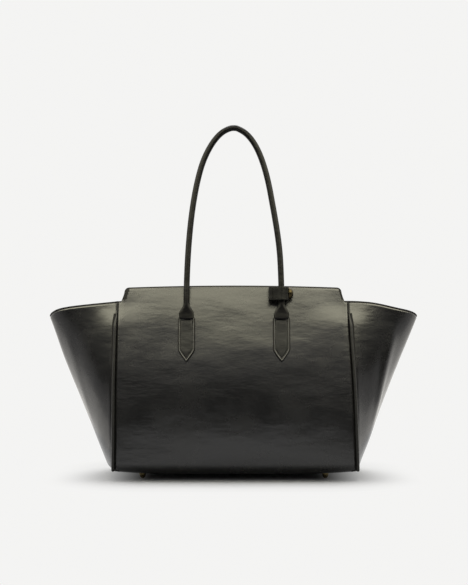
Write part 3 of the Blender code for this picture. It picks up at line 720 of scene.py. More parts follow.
def base_surface(u, v, level=0.0, inset=0.0):
    across, along = u, 2 * v - 1
    z = base_height(across, along)
    seam_x, seam_y = wing_seam(z)
    spread = wing_tip(z) - seam_x
    out = wing_out(along)[0]
    inset += LEATHER + 2 * GAP
    end = seam_x + spread * out - inset - 0.5 * FOOT_ROLL
    edge = half_depth(across, z) - inset - 0.6 * FOOT_ROLL
    sway = seam_sway(across, z) * abs(across) ** 3 * (1 - out)
    return Vector((across * end + sway, along * edge, z + level))


# Walls and linings

PANEL_GRID = (210, 120)
WING_GRID = (170, 100)
BASE_GRID = (90, 50)
BASE_EDGE_ROUND = 0.0004
FACING_EDGE_ROUND = 0.0003
# Where the edge paint lies, and where the same dark finish is painted shade beside the seams, in metres and
# in columns and rows of faces
SHOULDER_PAINT = 0.0040
SHOULDER_PAINT_FROM = SEAM_TOP_HEIGHT + 0.001
WING_SHADE_FROM = 0.016
WING_SHADE_TO = SEAM_TOP_HEIGHT - 0.0150
# Columns at the sides: the turned edge's paint, and painted shade of the seam's groove
SIDE_EDGE_AND_SHADE_COLUMNS = 3
# Columns of painted shade in the wings' tucks
TUCK_SHADE_COLUMNS = 10
PANEL_RIM_ROWS = 4
WING_RIM_ROWS = 5
# How far linings stay clear of the walls' edges and of the base
SEAM_INSET = 0.003
WING_LINING_END = 0.975
LINING_LIFT = LEATHER + 2 * GAP + 0.0009
BASE_LINING_LIFT = LEATHER + 2 * GAP + 0.0016
BASE_LINING_INSET = 0.0045


def on_shoulder(middle):
    above = middle.z > SHOULDER_PAINT_FROM
    return above and abs(middle.x) > shoulder_line(middle.z) - SHOULDER_PAINT


def panel_paint_and_shade(middle, column, row):
    """Edge paint on a panel's rim, its sides and its shoulders; at its sides it is also painted shade in the
    seam's groove.
    """
    at_side = not SIDE_EDGE_AND_SHADE_COLUMNS <= column < PANEL_GRID[0] - SIDE_EDGE_AND_SHADE_COLUMNS
    return int(on_shoulder(middle) or at_side or row >= PANEL_GRID[1] - PANEL_RIM_ROWS)


def wing_paint_and_shade(middle, column, row):
    """Edge paint on a wing's rim and sides; in its tuck beside the seams the same dark finish is painted
    shade.
    """
    # Beside the seams, columns of the dark finish stand for the shade in the tuck
    painted = TUCK_SHADE_COLUMNS if WING_SHADE_FROM < middle.z < WING_SHADE_TO else SIDE_EDGE_AND_SHADE_COLUMNS
    at_seam = not painted <= column < WING_GRID[0] - painted
    return int(on_shoulder(middle) or at_seam or row >= WING_GRID[1] - WING_RIM_ROWS)


def make_walls(finish):
    """The outer leather: two panels, two wings and the base, each one cut piece with a painted edge."""
    leather = ((finish.calf, finish.edge), "bag", "black_leather")
    for surface, grid, paint, outward, walls in (
        (panel_surface, PANEL_GRID, panel_paint_and_shade, (0, 1, 0), ((FRONT, "front_panel"), (BACK, "back_panel"))),
        (wing_surface, WING_GRID, wing_paint_and_shade, (1, 0, 0), ((LEFT, "left_gusset"), (RIGHT, "right_gusset"))),
    ):
        for side, name in walls:
            cut_leaf(
                name + "_leather",
                grid,
                lambda u, v: surface(side, u, v),
                side * Vector(outward),
                LEATHER,
                EDGE_ROUND,
                (*leather, name),
                paint,
            )
    base = (*leather, "base_panel")
    cut_leaf("base_leather", BASE_GRID, base_surface, (0, 0, -1), LEATHER, BASE_EDGE_ROUND, base)


def make_linings(finish):
    """Cloth below and a leather facing above, inside each wall."""
    cloth = ((finish.lining,), "bag", "lining_cloth")
    leather = ((finish.facing, finish.edge), "bag", "facing_leather")

    def lining_low(foot, rim):
        return foot + LINING_LIFT

    def lining_high(rim):
        return facing_low(0, rim) - 2 * GAP

    def facing_low(foot, rim):
        return min(rim, SEAM_TOP_HEIGHT) - FACING_HEIGHT

    for surface, edge, outward, sides, cloth_grid, facing_grid in (
        (panel_surface, SEAM_INSET, (0, 1, 0), ENDS, (110, 60), (190, 14)),
        (wing_surface, WING_LINING_END, (1, 0, 0), SIDES, (70, 60), (110, 12)),
    ):
        for side, name in sides:
            outside = side * Vector(outward)

            def lining(u, v):
                return surface(side, u, v, BEHIND_LEATHER, edge, lining_low, lining_high)

            def facing(u, v):
                return surface(side, u, v, BEHIND_LEATHER, edge, facing_low)

            node = "lining_" + name
            cut_leaf(node + "_cloth", cloth_grid, lining, outside, LINING, 0, (*cloth, node))
            node = "facing_" + name
            dressing = (*leather, node)
            cut_leaf(node + "_leather", facing_grid, facing, outside, FACING, FACING_EDGE_ROUND, dressing)

    def base_lining(u, v):
        return base_surface(u, v, BASE_LINING_LIFT, BASE_LINING_INSET)

    cut_leaf("lining_base_cloth", (60, 34), base_lining, (0, 0, -1), LINING, 0, (*cloth, "lining_base"))


# Pipings and handles

HANDLE_HALF = 0.061
HANDLE_REACH = 0.2548
HANDLE_RADIUS = 0.0039
HANDLE_STANDOFF = 0.0057
HANDLE_STAND = -12.0
HANDLE_HANG = 142.5
HANDLE_STEPS = 110
NECK_WIDTH = 0.0190
NECK_THICK = 0.0050
NECK_STRAIGHT = 0.006
NECK_END = 0.0013
NECK_FLARE = 0.013
PIVOT_HEIGHT = RIM_HEIGHT - 0.042
# Each leg's draw towards the middle: how far, from which height and over what height
LEG_DRAW = {LEFT: (0.0016, 0.2, 0.05), RIGHT: (0.0032, 0.075, 0.09)}
ROUND_STEPS = 8
PIPING_ROWS = 120


def tube_along(name, stations, sides):
    """A tube through stations of (middle, across, away, half width, half thickness, squareness)."""

    def place(u, v):
        middle, across, away, wide, thick, square = stations[round(v * (len(stations) - 1))]
        angle = math.pi * u
        power = lerp(1.0, 0.6, square)
        first = math.copysign(abs(math.cos(angle)) ** power, math.cos(angle))
        second = math.copysign(abs(math.sin(angle)) ** power, math.sin(angle))
        return middle + across * (wide * first) + away * (thick * second)

    piece = lay_grid(name, sides, len(stations) - 1, place)
    take(piece)
    clean_shell(0.000002, True)
    return piece


def make_piping(finish):
    """One covered cord down each seam, pointed at its top and round at its foot."""
    low = PIPING_FOOT + PIPING_RADIUS
    top = SEAM_TOP_HEIGHT - PIPING_TOP_DROP
    levels = []
    for step in range(ROUND_STEPS):
        angle = math.pi / 2 * (step + 0.5) / ROUND_STEPS
        levels.append((low - PIPING_RADIUS * math.cos(angle), PIPING_RADIUS * math.sin(angle)))
    for row in range(PIPING_ROWS + 1):
        z = lerp(low, top, row / PIPING_ROWS)
        levels.append((z, piping_radius(z)))
    for step in range(1, 4):
        tip = PIPING_POINT * math.sqrt(max(1 - (step / 3) ** 2, 0.02))
        levels.append((top + PIPING_POINT * step, tip))
    for end, end_name in ENDS:
        for side, side_name in SIDES:
            stations = []
            for z, radius in levels:
                x, y = piping_centre(z)
                tail = PIPING_TAIL * radius / PIPING_RADIUS
                middle = Vector((side * x + lean(z) + seam_sway(side, z), end * (y - tail), z))
                stations.append((middle, Vector((1, 0, 0)), Vector((0, 1, 0)), radius, radius + tail, 0.0))
            node = "piping_" + end_name + "_" + side_name
            piece = tube_along(node + "_cord", stations, 24)
            dress(settle(piece), (finish.cord,), "bag", "black_leather", node)


def handle_pivot(end):
    across = HANDLE_HALF / seam_half(PIVOT_HEIGHT)
    return Vector((0, end * (half_depth(across, PIVOT_HEIGHT) + HANDLE_STANDOFF), PIVOT_HEIGHT))


def handle_centre(share):
    """A point on a leg's line, from its foot at 0 to the arch's middle at 1."""
    corners = (
        Vector((HANDLE_HALF, 0)),
        Vector((HANDLE_HALF * 1.02, HANDLE_REACH * 0.45)),
        Vector((HANDLE_HALF * 0.83, HANDLE_REACH)),
        Vector((0, HANDLE_REACH)),
    )
    rest = 1 - share
    weights = (rest ** 3, 3 * rest * rest * share, 3 * rest * share * share, share ** 3)
    return sum((corner * weight for corner, weight in zip(corners, weights)), Vector((0, 0)))


def handle_sway(mirror, across, height):
    """The leaning arch of the soft handle: its right side is drawn in more than its left."""
    drawn, start, length = LEG_DRAW[mirror]
    return -mirror * drawn * rise(height, start, length) * rise(across, 0, 0.012)


def handle_axes(end, angle):
    turn = math.radians(angle)
    up = Vector((0, end * math.sin(turn), math.cos(turn)))
    return up, Vector((0, end * math.cos(turn), -math.sin(turn)))


def make_handle(name, end, angle, finish):
    """The rolled handle: a round tube that flattens into a neck at each foot."""
    pivot = handle_pivot(end)
    reach, out = handle_axes(end, angle)
    half = []
    for step in range(ROUND_STEPS):
        turn = math.pi / 2 * (1 - (step + 0.5) / ROUND_STEPS)
        foot = Vector((HANDLE_HALF, -NECK_END * math.sin(turn)))
        wide = NECK_WIDTH / 2 * lerp(1, 0.9, math.sin(turn))
        half.append((foot, Vector((0, 1)), wide, NECK_THICK / 2 * math.cos(turn), 1.0))
    for step in range(HANDLE_STEPS + 1):
        share = (step / HANDLE_STEPS) ** 1.25
        centre = handle_centre(share)
        heading = (handle_centre(min(share + 0.01, 1)) - handle_centre(max(share - 0.01, 0))).normalized()
        if step == HANDLE_STEPS:
            heading = Vector((-1, 0))
        flat = fall(centre.y, NECK_STRAIGHT, NECK_FLARE)
        wide = lerp(HANDLE_RADIUS, NECK_WIDTH / 2, flat)
        half.append((centre, heading, wide, lerp(HANDLE_RADIUS, NECK_THICK / 2, flat), flat))
    stations = []
    for mirror, leg in ((RIGHT, half), (LEFT, half[-2::-1])):
        for centre, heading, wide, thick, flat in leg:
            across = mirror * centre.x + handle_sway(mirror, centre.x, centre.y)
            middle = pivot + Vector((across, 0, 0)) + reach * centre.y
            side = Vector((mirror * heading.y, 0, 0)) - reach * heading.x
            stations.append((middle, side, out, wide, thick, flat))
    piece = tube_along(name + "_leather", stations, 32)
    dress(settle(piece), (finish.rolled,), name, "rolled_leather", name)


# Stitches

STITCH_PITCH = 0.0026
STITCH_SHARE = 0.28
THREAD_RADIUS = 0.00042
THREAD_LIFT = 0.00012
SHOULDER_STITCH = 0.0020
RIM_STITCH = 0.0011
FACING_STITCH = 0.0025


def one_stitch(radius, length):
    """A single stitch: a short plump thread, lying along X."""
    deselect()
    bpy.ops.mesh.primitive_uv_sphere_add(segments=6, ring_count=5, radius=1.0)
    piece = bpy.context.object
    bpy.ops.transform.rotate(value=math.pi / 2, orient_axis="Y", center_override=(0, 0, 0))
    bpy.ops.object.transform_apply(rotation=True)
    for vert in piece.data.vertices:
        along = vert.co.x
        vert.co.x = along * length
        vert.co.y *= radius
        vert.co.z = (vert.co.z - 0.6 * along * along) * radius
    return piece


def even_points(points, outs, pitch):
    """Places at an even pitch along a path: each point, its heading and the leather's outward side."""
    lengths = [0.0]
    for near, far in zip(points, points[1:]):
        lengths.append(lengths[-1] + (far - near).length)
    count = max(int(lengths[-1] / pitch), 1)
    made = []
    index = 0
    for step in range(count):
        wanted = (step + 0.5) * lengths[-1] / count
        while index < len(points) - 2 and lengths[index + 1] < wanted:
            index += 1
        near, far = points[index], points[index + 1]
        share = (wanted - lengths[index]) / max(lengths[index + 1] - lengths[index], 1e-9)
        made.append((near.lerp(far, share), (far - near).normalized(), outs[index]))
    return made


def sew(name, points, outs, thread, body, slot, radius=THREAD_RADIUS, pitch=STITCH_PITCH):
    """A row of stitches along a path; outs are the leather's outward sides, or one for all."""
    if isinstance(outs, Vector):
        outs = [outs] * len(points)
    stitch = one_stitch(radius, pitch * STITCH_SHARE)
    mesh = bmesh.new()
    for point, heading, out in even_points(points, outs, pitch):
        side = out.cross(heading).normalized()
        out = heading.cross(side).normalized()
        turn = Matrix((heading, side, out)).transposed().to_4x4()
        turn.translation = point
        before = len(mesh.verts)
        mesh.from_mesh(stitch.data)
        mesh.verts.ensure_lookup_table()
        bmesh.ops.transform(mesh, matrix=turn, verts=mesh.verts[before:])
    mesh.to_mesh(stitch.data)
    mesh.free()
    dress(settle(rename(stitch, name), 80), (thread,), body, slot)


def sew_wall(name, surface, steps, thread, slot, facing=1, lift=THREAD_LIFT):
    """Stitches on a wall, outside where facing is 1; surface takes a share and a small shift down it."""
    points, outs = [], []
    for step in range(steps + 1):
        share = step / steps
        point = surface(share, 0.0)
        ahead = surface(min(share + 0.002, 1.0), 0.0) - surface(max(share - 0.002, 0.0), 0.0)
        out = ahead.cross(surface(share, 0.0006) - point).normalized()
        if facing * out.dot(point - Vector((0, 0, point.z))) < 0:
            out = -out
        points.append(point + out * lift)
        outs.append(out)
    sew(name, points, outs, thread, "bag", slot)


def make_wall_stitches(finish):
    """Top stitches round the wings' rims, down the panels' shoulders and along the facings inside."""
    inner = BEHIND_LEATHER + FACING
    above = FACING_HEIGHT - FACING_STITCH
    thread = finish.thread

    def facing_row(surface, side, reach):
        def row(share, shift):
            def low(foot, rim):
                return min(rim, SEAM_TOP_HEIGHT) - above - shift

            return surface(side, lerp(-reach, reach, share), 0, inner, low=low)

        return row

    for side, name in SIDES:

        def wing_row(share, shift):
            u = lerp(-0.985, 0.985, share)
            return wing_surface(side, u, 1, high=lambda rim: rim - RIM_STITCH - shift)

        sew_wall("stitches_rim_" + name, wing_row, 220, thread, "black_leather")
    for end, end_name in ENDS:
        for side, side_name in SIDES:

            def shoulder_row(share, shift):
                z = lerp(RIM_HEIGHT - RIM_CROWN - 0.002, SEAM_TOP_HEIGHT + 0.0015, share)
                x = shoulder_line(z) - SHOULDER_STITCH - shift
                return panel_surface(end, side * under_rim(x / seam_half(z)), 0, low=lambda foot, rim: z)

            name = "stitches_shoulder_" + end_name + "_" + side_name
            sew_wall(name, shoulder_row, 30, thread, "black_leather", 1, THREAD_RADIUS * 0.4)
    for surface, walls, reach, steps in ((wing_surface, SIDES, 0.93, 200), (panel_surface, ENDS, 0.97, 240)):
        for side, name in walls:
            row = facing_row(surface, side, reach)
            sew_wall("stitches_facing_" + name, row, steps, thread, "facing_leather", -1)


# Tabs under the handles

TAB_WIDTH = 0.022
TAB_LEATHER = 0.0024
TAB_LENGTH = 0.0555
TAB_POINT = 0.0155
TAB_TIP_HALF = 0.0007
TAB_STITCH_INSET = 0.0031
TAB_THREAD_RADIUS = 0.00045
TAB_STITCH_PITCH = 0.0027
TAB_WELT = 0.0008
TAB_PAINT = 0.0016
# Where the creased line with its painted highlight ends, in from the edge
TAB_CREASE_HIGHLIGHT_END = 0.0022
TAB_GROOVE_HALF = 0.0007
TAB_FACE = GAP + TAB_LEATHER - 0.0001
SHORT_STEP = 0.0004


def tab_half_width(down):
    share = min((TAB_LENGTH - down) / TAB_POINT, 1.0)
    return lerp(TAB_TIP_HALF, TAB_WIDTH / 2, 1 - (1 - share) ** 1.25)


def tab_slope(down):
    """How much longer a step along a tab's outline is than the same step straight down."""
    ahead = tab_half_width(min(down + SHORT_STEP, TAB_LENGTH))
    return math.hypot(1, (tab_half_width(down) - ahead) / SHORT_STEP)


def on_panel(end, x, z, lift):
    """A point over a panel's outer face."""
    return Vector((x, end * (half_depth(x / seam_half(z), z) + lift), z))


def edge_profile(inward):
    """How a stitched, padded leather edge rises: rounded rim, creased line, pulled stitch, pad."""
    rim = -0.0009 * fall(inward, 0, 0.0012)
    bead = 0.00030 * hump(inward, 0.0019, 0.00045)
    groove = -0.00055 * hump(inward, TAB_STITCH_INSET, 0.0006)
    pad = 0.00022 * rise(inward, TAB_STITCH_INSET, 0.004)
    return rim + bead + groove + pad


def make_tab(end, end_name, side, side_name, finish):
    """A pointed tab under a handle's foot, padded and stitched round its edge."""
    middle = side * HANDLE_HALF

    def place(u, v):
        down = TAB_LENGTH * (1 - v)
        wide = tab_half_width(down)
        u = math.copysign(1 - (1 - abs(u)) ** 1.15, u)
        inward = min((1 - abs(u)) * wide / tab_slope(down), TAB_LENGTH - down + 0.0002)
        welt = TAB_WELT * rise(down, 0.0014, 0.001) * fall(down, 0.004, 0.014) * fall(abs(u), 0.48, 0.3)
        return on_panel(end, middle + u * wide, PIVOT_HEIGHT - down, TAB_FACE + edge_profile(inward) + welt)

    def paint(spot, column, row):
        down = PIVOT_HEIGHT - spot.z
        inward = (tab_half_width(down) - abs(spot.x - middle)) / tab_slope(down)
        inward = min(inward, TAB_LENGTH - down)
        # The creased line takes the lighter finish, a painted highlight
        if TAB_PAINT <= inward < TAB_CREASE_HIGHLIGHT_END:
            return 2
        return int(inward < TAB_PAINT or abs(inward - TAB_STITCH_INSET) < TAB_GROOVE_HALF)

    name = "handle_tab_" + end_name + "_" + side_name
    dressing = ((finish.tab, finish.edge, finish.crease_and_highlight), "bag", "black_leather", name)
    cut_leaf(name + "_leather", (72, 140), place, (0, end, 0), TAB_LEATHER - 0.0007, 0.0002, dressing, paint)
    path = []
    down = 3 * SHORT_STEP
    while down < TAB_LENGTH - TAB_STITCH_INSET * 1.6:
        x = tab_half_width(down) - TAB_STITCH_INSET * tab_slope(down)
        if x > 0.0005:
            path.append((x, down))
        down += SHORT_STEP
    outline = [(-x, down) for x, down in path] + path[::-1]
    lift = TAB_FACE + edge_profile(TAB_STITCH_INSET) + THREAD_RADIUS * 0.9
    points = [on_panel(end, middle + x, PIVOT_HEIGHT - down, lift) for x, down in outline]
    # The tab's stitches take the thread that is painted lighter as a highlight
    sew(
        "stitches_" + name,
        points,
        Vector((0, end, 0)),
        finish.tab_thread,
        "bag",
        "black_leather",
        TAB_THREAD_RADIUS,
        TAB_STITCH_PITCH,
    )


# Turned metal


def turn_up(name, profile, place, axis, steps=48, angle=30.0):
    """A lathe-turned piece from (radius, height) points."""
    deselect()
    bpy.ops.mesh.primitive_circle_add(vertices=3, radius=0.001)
    piece = rename(bpy.context.object, name)
    shape = bmesh.new()
    corners = [shape.verts.new((radius, 0, height)) for radius, height in profile]
    for near, far in zip(corners, corners[1:]):
        shape.edges.new((near, far))
    shape.to_mesh(piece.data)
    shape.free()
    bpy.ops.object.mode_set(mode="EDIT")
    bpy.ops.mesh.select_all(action="SELECT")
    bpy.ops.mesh.spin(steps=steps, angle=math.tau, center=(0, 0, 0), axis=(0, 0, 1))
    clean_shell(0.000005)
    turn = Vector((0, 0, 1)).rotation_difference(Vector(axis).normalized()).to_matrix().to_4x4()
    turn.translation = place
    piece.data.transform(turn)
    return settle(piece, angle)


def domed(radius, low, high, steps):
    """Profile points of a dome, from above its rim at low to its top at high."""
    points = []
    for step in range(1, steps):
        angle = math.pi / 2 * step / steps
        points.append((radius * math.cos(angle), lerp(low, high, math.sin(angle))))
    return points + [(0.0, high)]


def make_feet(finish):
    """Domed brass studs under the base, each with a flat seat ring."""
    for end_name in ("front", "back"):
        for side_name in ("left", "right"):
            name = "foot_" + end_name + "_" + side_name
            low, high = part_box(name)
            middle = (low + high) / 2
            radius = (high.x - low.x) / 2
            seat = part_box("foot_nut_" + end_name + "_" + side_name)[0].z - LEATHER - 0.0016
            profile = [(0, high.z), (0.0016, high.z), (0.0016, seat), (radius - 0.0002, seat)]
            profile += [(radius, seat - 0.0002), (radius, seat - 0.0009), (radius - 0.0004, seat - 0.0013)]
            profile += domed(radius - 0.0004, seat - 0.0013, 0.0, 10)
            piece = turn_up(name + "_stud", profile, (middle.x, middle.y, 0), (0, 0, 1))
            dress(piece, (finish.brass,), "bag", "brass", name)


def make_magnets(finish):
    """Two pressed discs on the facings, one with a nose and one with a dimple."""
    low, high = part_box("magnet_front")
    height = (low.z + high.z) / 2
    seat = half_depth(0, height) - (BEHIND_LEATHER + FACING + 0.0005)
    slope = (half_depth(0, height + 0.009) - half_depth(0, height - 0.009)) / 0.018
    rim = [(0, 0), (0.0088, 0), (0.009, 0.0002), (0.009, 0.0014), (0.0086, 0.0019), (0.0078, 0.0021)]
    rim += [(0.0074, 0.0019), (0.0066, 0.0020), (0.0060, 0.0024), (0.0050, 0.0026)]
    nose = [(0.0036, 0.0026), (0.0034, 0.0028), (0.0031, 0.0043), (0.0026, 0.0048), (0, 0.0048)]
    dimple = [(0.0040, 0.0026), (0.0037, 0.0024), (0.0036, 0.0008), (0, 0.0007)]
    for (end, end_name), middle in zip(ENDS, (nose, dimple)):
        node = "magnet_" + end_name
        disc = turn_up(node + "_disc", rim + middle, (0, end * seat, height), (0, -end, slope))
        dress(disc, (finish.brass,), "bag", "brass", node)


# The keeper round the front handle's right leg

KEEPER_RISE = 0.0308
KEEPER_HEIGHT = 0.0175
KEEPER_LEATHER = 0.0014
KEEPER_LEFT = 0.0166
KEEPER_RIGHT = 0.006
KEEPER_ROOM = 0.0028
KEEPER_BORE = 0.0005
KEEPER_BACK = HANDLE_RADIUS + KEEPER_BORE
KEEPER_FACE = KEEPER_BACK + KEEPER_ROOM + KEEPER_LEATHER
KEEPER_CORNER = 0.0022
BAND_STEP = 0.0006
BAND_ROWS = 18
FLAP_LEATHER = 0.0014
FLAP_FRONT = 0.017
FLAP_TAIL = 0.007
FLAP_CORNER = 0.0018
FLAP_FACE = KEEPER_FACE + GAP + FLAP_LEATHER
FLAP_SWELL = 0.0011
FLAP_SWELL_WIDTH = 0.0036
LOOP_DENT = -0.0007
LOOP_DENT_AT = -0.0106
LOOP_DENT_WIDTH = 0.0007
STITCH_MARGIN = 0.0022
SNAP_OUT = 0.002
SNAP_HEIGHT = 0.0062
SNAP_RIM = 0.0014
STUD_BASE = 0.0006


def keeper_place():
    """The keeper's middle on the front handle's right leg, with the leg's axes."""
    reach, out = handle_axes(FRONT, HANDLE_STAND)
    shares = (step / 400 for step in range(200))
    nearest = min(shares, key=lambda share: abs(handle_centre(share).y - KEEPER_RISE))
    pivot = handle_pivot(FRONT)
    return Vector((handle_centre(nearest).x, pivot.y, pivot.z)) + reach * KEEPER_RISE, reach, out


def keeper_level(out):
    """The keeper hangs level on its leaning leg: its back is cut higher than its front."""
    return (KEEPER_FACE - out) * math.tan(math.radians(-HANDLE_STAND))


def round_corner(centre_x, centre_y, radius, start, turn, steps):
    """Points of a rounded corner round its centre; the angles are in degrees."""
    angles = [math.radians(start + turn * step / steps) for step in range(steps + 1)]
    return [(centre_x + radius * math.cos(angle), centre_y + radius * math.sin(angle)) for angle in angles]


def band(line, thickness, closed, finish, node):
    """A strap of an even height along a line of (x, out) points round the handle's leg."""
    place, reach, out = keeper_place()
    path = [Vector(point) for point in line]
    if closed:
        path.append(path[0])
    spaced = []
    for near, far in zip(path, path[1:]):
        steps = max(int((far - near).length / BAND_STEP), 1)
        spaced += [near.lerp(far, step / steps) for step in range(steps)]
    spaced.append(path[-1])

    def lay(u, v):
        point = spaced[round((u + 1) / 2 * (len(spaced) - 1))]
        height = KEEPER_HEIGHT * (v - 0.5) + keeper_level(point.y)
        if closed:
            swell = LOOP_DENT * hump(point.x, LOOP_DENT_AT, LOOP_DENT_WIDTH)
        else:
            swell = FLAP_SWELL * hump(point.x, 0, FLAP_SWELL_WIDTH)
        swell *= rise(point.y, 0, 0.006)
        return place + Vector((point.x, 0, 0)) + out * (point.y + swell) + reach * height

    piece = lay_grid(node + "_leather", len(spaced) - 1, BAND_ROWS, lay)
    take(piece)
    if closed:
        clean_shell(0.000005)
    middle = place + out * KEEPER_ROOM / 2
    total = sum((face.center - middle).dot(face.normal) for face in piece.data.polygons)
    if total < 0:
        piece.data.flip_normals()
    thicken(piece, thickness, 0.0003, True)
    settle(piece)
    for face in piece.data.polygons:
        inward = middle - face.center
        inward -= reach * inward.dot(reach)
        if face.material_index == 0 and face.normal.dot(inward.normalized()) > 0.5:
            face.material_index = 2
    body = "keeper" if closed else node
    dress(piece, (finish.strap, finish.edge, finish.flesh), body, "black_leather", node)


def make_keeper(finish):
    """A folded strap round the handle's leg, its flap, and the snap that closes it."""
    place, reach, out = keeper_place()
    back = -KEEPER_BACK - KEEPER_LEATHER + KEEPER_CORNER
    front = KEEPER_FACE - KEEPER_CORNER
    left = -KEEPER_LEFT + KEEPER_CORNER
    right = KEEPER_RIGHT - KEEPER_CORNER
    loop = []
    for start, x, y in ((0, right, front), (90, left, front), (180, left, back), (270, right, back)):
        loop += round_corner(x, y, KEEPER_CORNER, start, 90, 7)
    band(loop, KEEPER_LEATHER, True, finish, "keeper_strap")

    side = KEEPER_RIGHT + STUD_BASE + 2 * GAP
    outer = side + FLAP_LEATHER
    start = side - FLAP_FRONT
    corner = outer - FLAP_CORNER
    line = [(start, FLAP_FACE)] + round_corner(corner, FLAP_FACE - FLAP_CORNER, FLAP_CORNER, 90, -90, 6)
    band(line + [(outer, SNAP_OUT - FLAP_TAIL)], FLAP_LEATHER, False, finish, "keeper_flap")
    face = place + out * (FLAP_FACE + THREAD_RADIUS * 0.2)
    row_height = KEEPER_HEIGHT / 2 - STITCH_MARGIN
    for name, above in (("upper", row_height), ("lower", -row_height)):
        row = face + reach * (above + keeper_level(FLAP_FACE))
        ends = start + STITCH_MARGIN, corner - 0.0006
        points = [row + Vector((lerp(*ends, step / 29), 0, 0)) for step in range(30)]
        sew("stitches_keeper_" + name, points, out, finish.thread, "keeper_flap", "black_leather")

    seat = place + out * SNAP_OUT + reach * keeper_level(SNAP_OUT)
    low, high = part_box("keeper_snap_cap")
    radius = (high.z - low.z) / 2 + 0.0004
    profile = [(0.0, 0.0003), (radius - 0.0012, 0.0), (radius - 0.0003, 0.0), (radius, 0.0003)]
    profile += [(radius, 0.0009), (radius - 0.0004, 0.0013), (radius - 0.0009, SNAP_RIM)]
    profile += domed(radius - 0.0009, SNAP_RIM, SNAP_HEIGHT, 12)
    cap = turn_up("keeper_snap_cap_dome", profile, seat + Vector((outer + GAP, 0, 0)), (1, 0, 0), 64)
    # The dome takes the brass that is painted dark as shade
    dress(cap, (finish.brass_painted_shade,), "keeper_flap", "brass", "keeper_snap_cap")
    ball = outer + 0.0019 - KEEPER_RIGHT - GAP
    profile = [(0, 0), (0.0042, 0), (0.0044, 0.0002), (0.0043, STUD_BASE), (0.0014, STUD_BASE)]
    profile += [(0.0014, ball - 0.0014), (0.0018, ball - 0.0006), (0.0017, ball + 0.0002)]
    profile += [(0.001, ball + 0.0009), (0, ball + 0.001)]
    foot = seat + Vector((KEEPER_RIGHT + GAP, 0, 0))
    stud = turn_up("keeper_snap_stud_post", profile, foot, (1, 0, 0), 32)
    dress(stud, (finish.brass,), "keeper", "brass", "keeper_snap_stud")


# The zip on the back lining

ZIP_HEIGHT = 0.168
ZIP_HALF = 0.082
ZIP_TAPE = 0.0007
ZIP_TAPE_HEIGHT = 0.026
ZIP_TOOTH = 0.0011
ZIP_TEETH = 156
ZIP_STITCH = 0.0105
TOOTH_SIZE = (0.00042, 0.0005, 0.0014)


def zip_point(x, z, depth):
    start = BEHIND_LEATHER + LINING + GAP
    return Vector((x, half_depth(x / seam_half(z), z) - start - depth, z))


def make_zip_tape(finish):
    """Two tapes that meet, their coiled teeth and their stitches."""

    def tape(u, v):
        above = ZIP_TAPE_HEIGHT * (v - 0.5)
        return zip_point(ZIP_HALF * u, ZIP_HEIGHT + above, ZIP_TAPE + 0.0004 * hump(above, 0, 0.0024))

    dressing = ((finish.tape,), "bag", "zip_cloth", "zip_tape")
    cut_leaf("zip_tape_cloth", (120, 40), tape, (0, -1, 0), ZIP_TAPE, 0.0001, dressing)
    deselect()
    bpy.ops.mesh.primitive_uv_sphere_add(segments=6, ring_count=4, radius=1.0)
    tooth = rename(bpy.context.object, "zip_teeth")
    teeth = bmesh.new()
    end = ZIP_HALF - 0.004
    for step in range(ZIP_TEETH):
        x = lerp(-end, end, step / (ZIP_TEETH - 1))
        for side in (-1, 1):
            before = len(teeth.verts)
            teeth.from_mesh(tooth.data)
            teeth.verts.ensure_lookup_table()
            fresh = teeth.verts[before:]
            bmesh.ops.scale(teeth, vec=TOOTH_SIZE, verts=fresh)
            where = zip_point(x + side * 0.00026, ZIP_HEIGHT + side * 0.0009, ZIP_TAPE + ZIP_TOOTH - 0.0005)
            bmesh.ops.translate(teeth, vec=where, verts=fresh)
    teeth.to_mesh(tooth.data)
    teeth.free()
    dress(settle(tooth, 80), (finish.nickel,), "bag", "zip_cloth")
    for name, above in (("lower", -ZIP_STITCH), ("upper", ZIP_STITCH)):
        places = [ZIP_HALF * 1.96 * (step / 40 - 0.5) for step in range(41)]
        points = [zip_point(x, ZIP_HEIGHT + above, ZIP_TAPE + 0.0001) for x in places]
        sew("stitches_zip_" + name, points, Vector((0, -1, 0)), finish.thread, "bag", "zip_cloth")


def make_zip_slider(finish):
    """The slider, narrower at its tail, with the bridge that holds the pull."""
    low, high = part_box("zip_slider")
    middle = (low + high) / 2
    deselect()
    bpy.ops.mesh.primitive_cube_add(size=1, location=middle)
    slider = rename(bpy.context.object, "zip_slider_body")
    slider.scale = high - low
    bpy.ops.object.transform_apply(location=True, scale=True)
    for vert in slider.data.vertices:
        if vert.co.x < middle.x:
            vert.co.z = lerp(middle.z, vert.co.z, 0.78)
    modify(slider, "BEVEL", width=0.0007, segments=3, limit_method="ANGLE")
    deselect()
    bpy.ops.mesh.primitive_torus_add(
        major_radius=0.0013,
        minor_radius=0.0004,
        major_segments=24,
        minor_segments=10,
        location=(middle.x, low.y + 0.0003, middle.z),
        rotation=(0, math.pi / 2, 0),
    )
    slider.select_set(True)
    bpy.context.view_layer.objects.active = slider
    bpy.ops.object.join()
    dress(settle(slider), (finish.brass,), "zip_slider", "brass", "zip_slider")


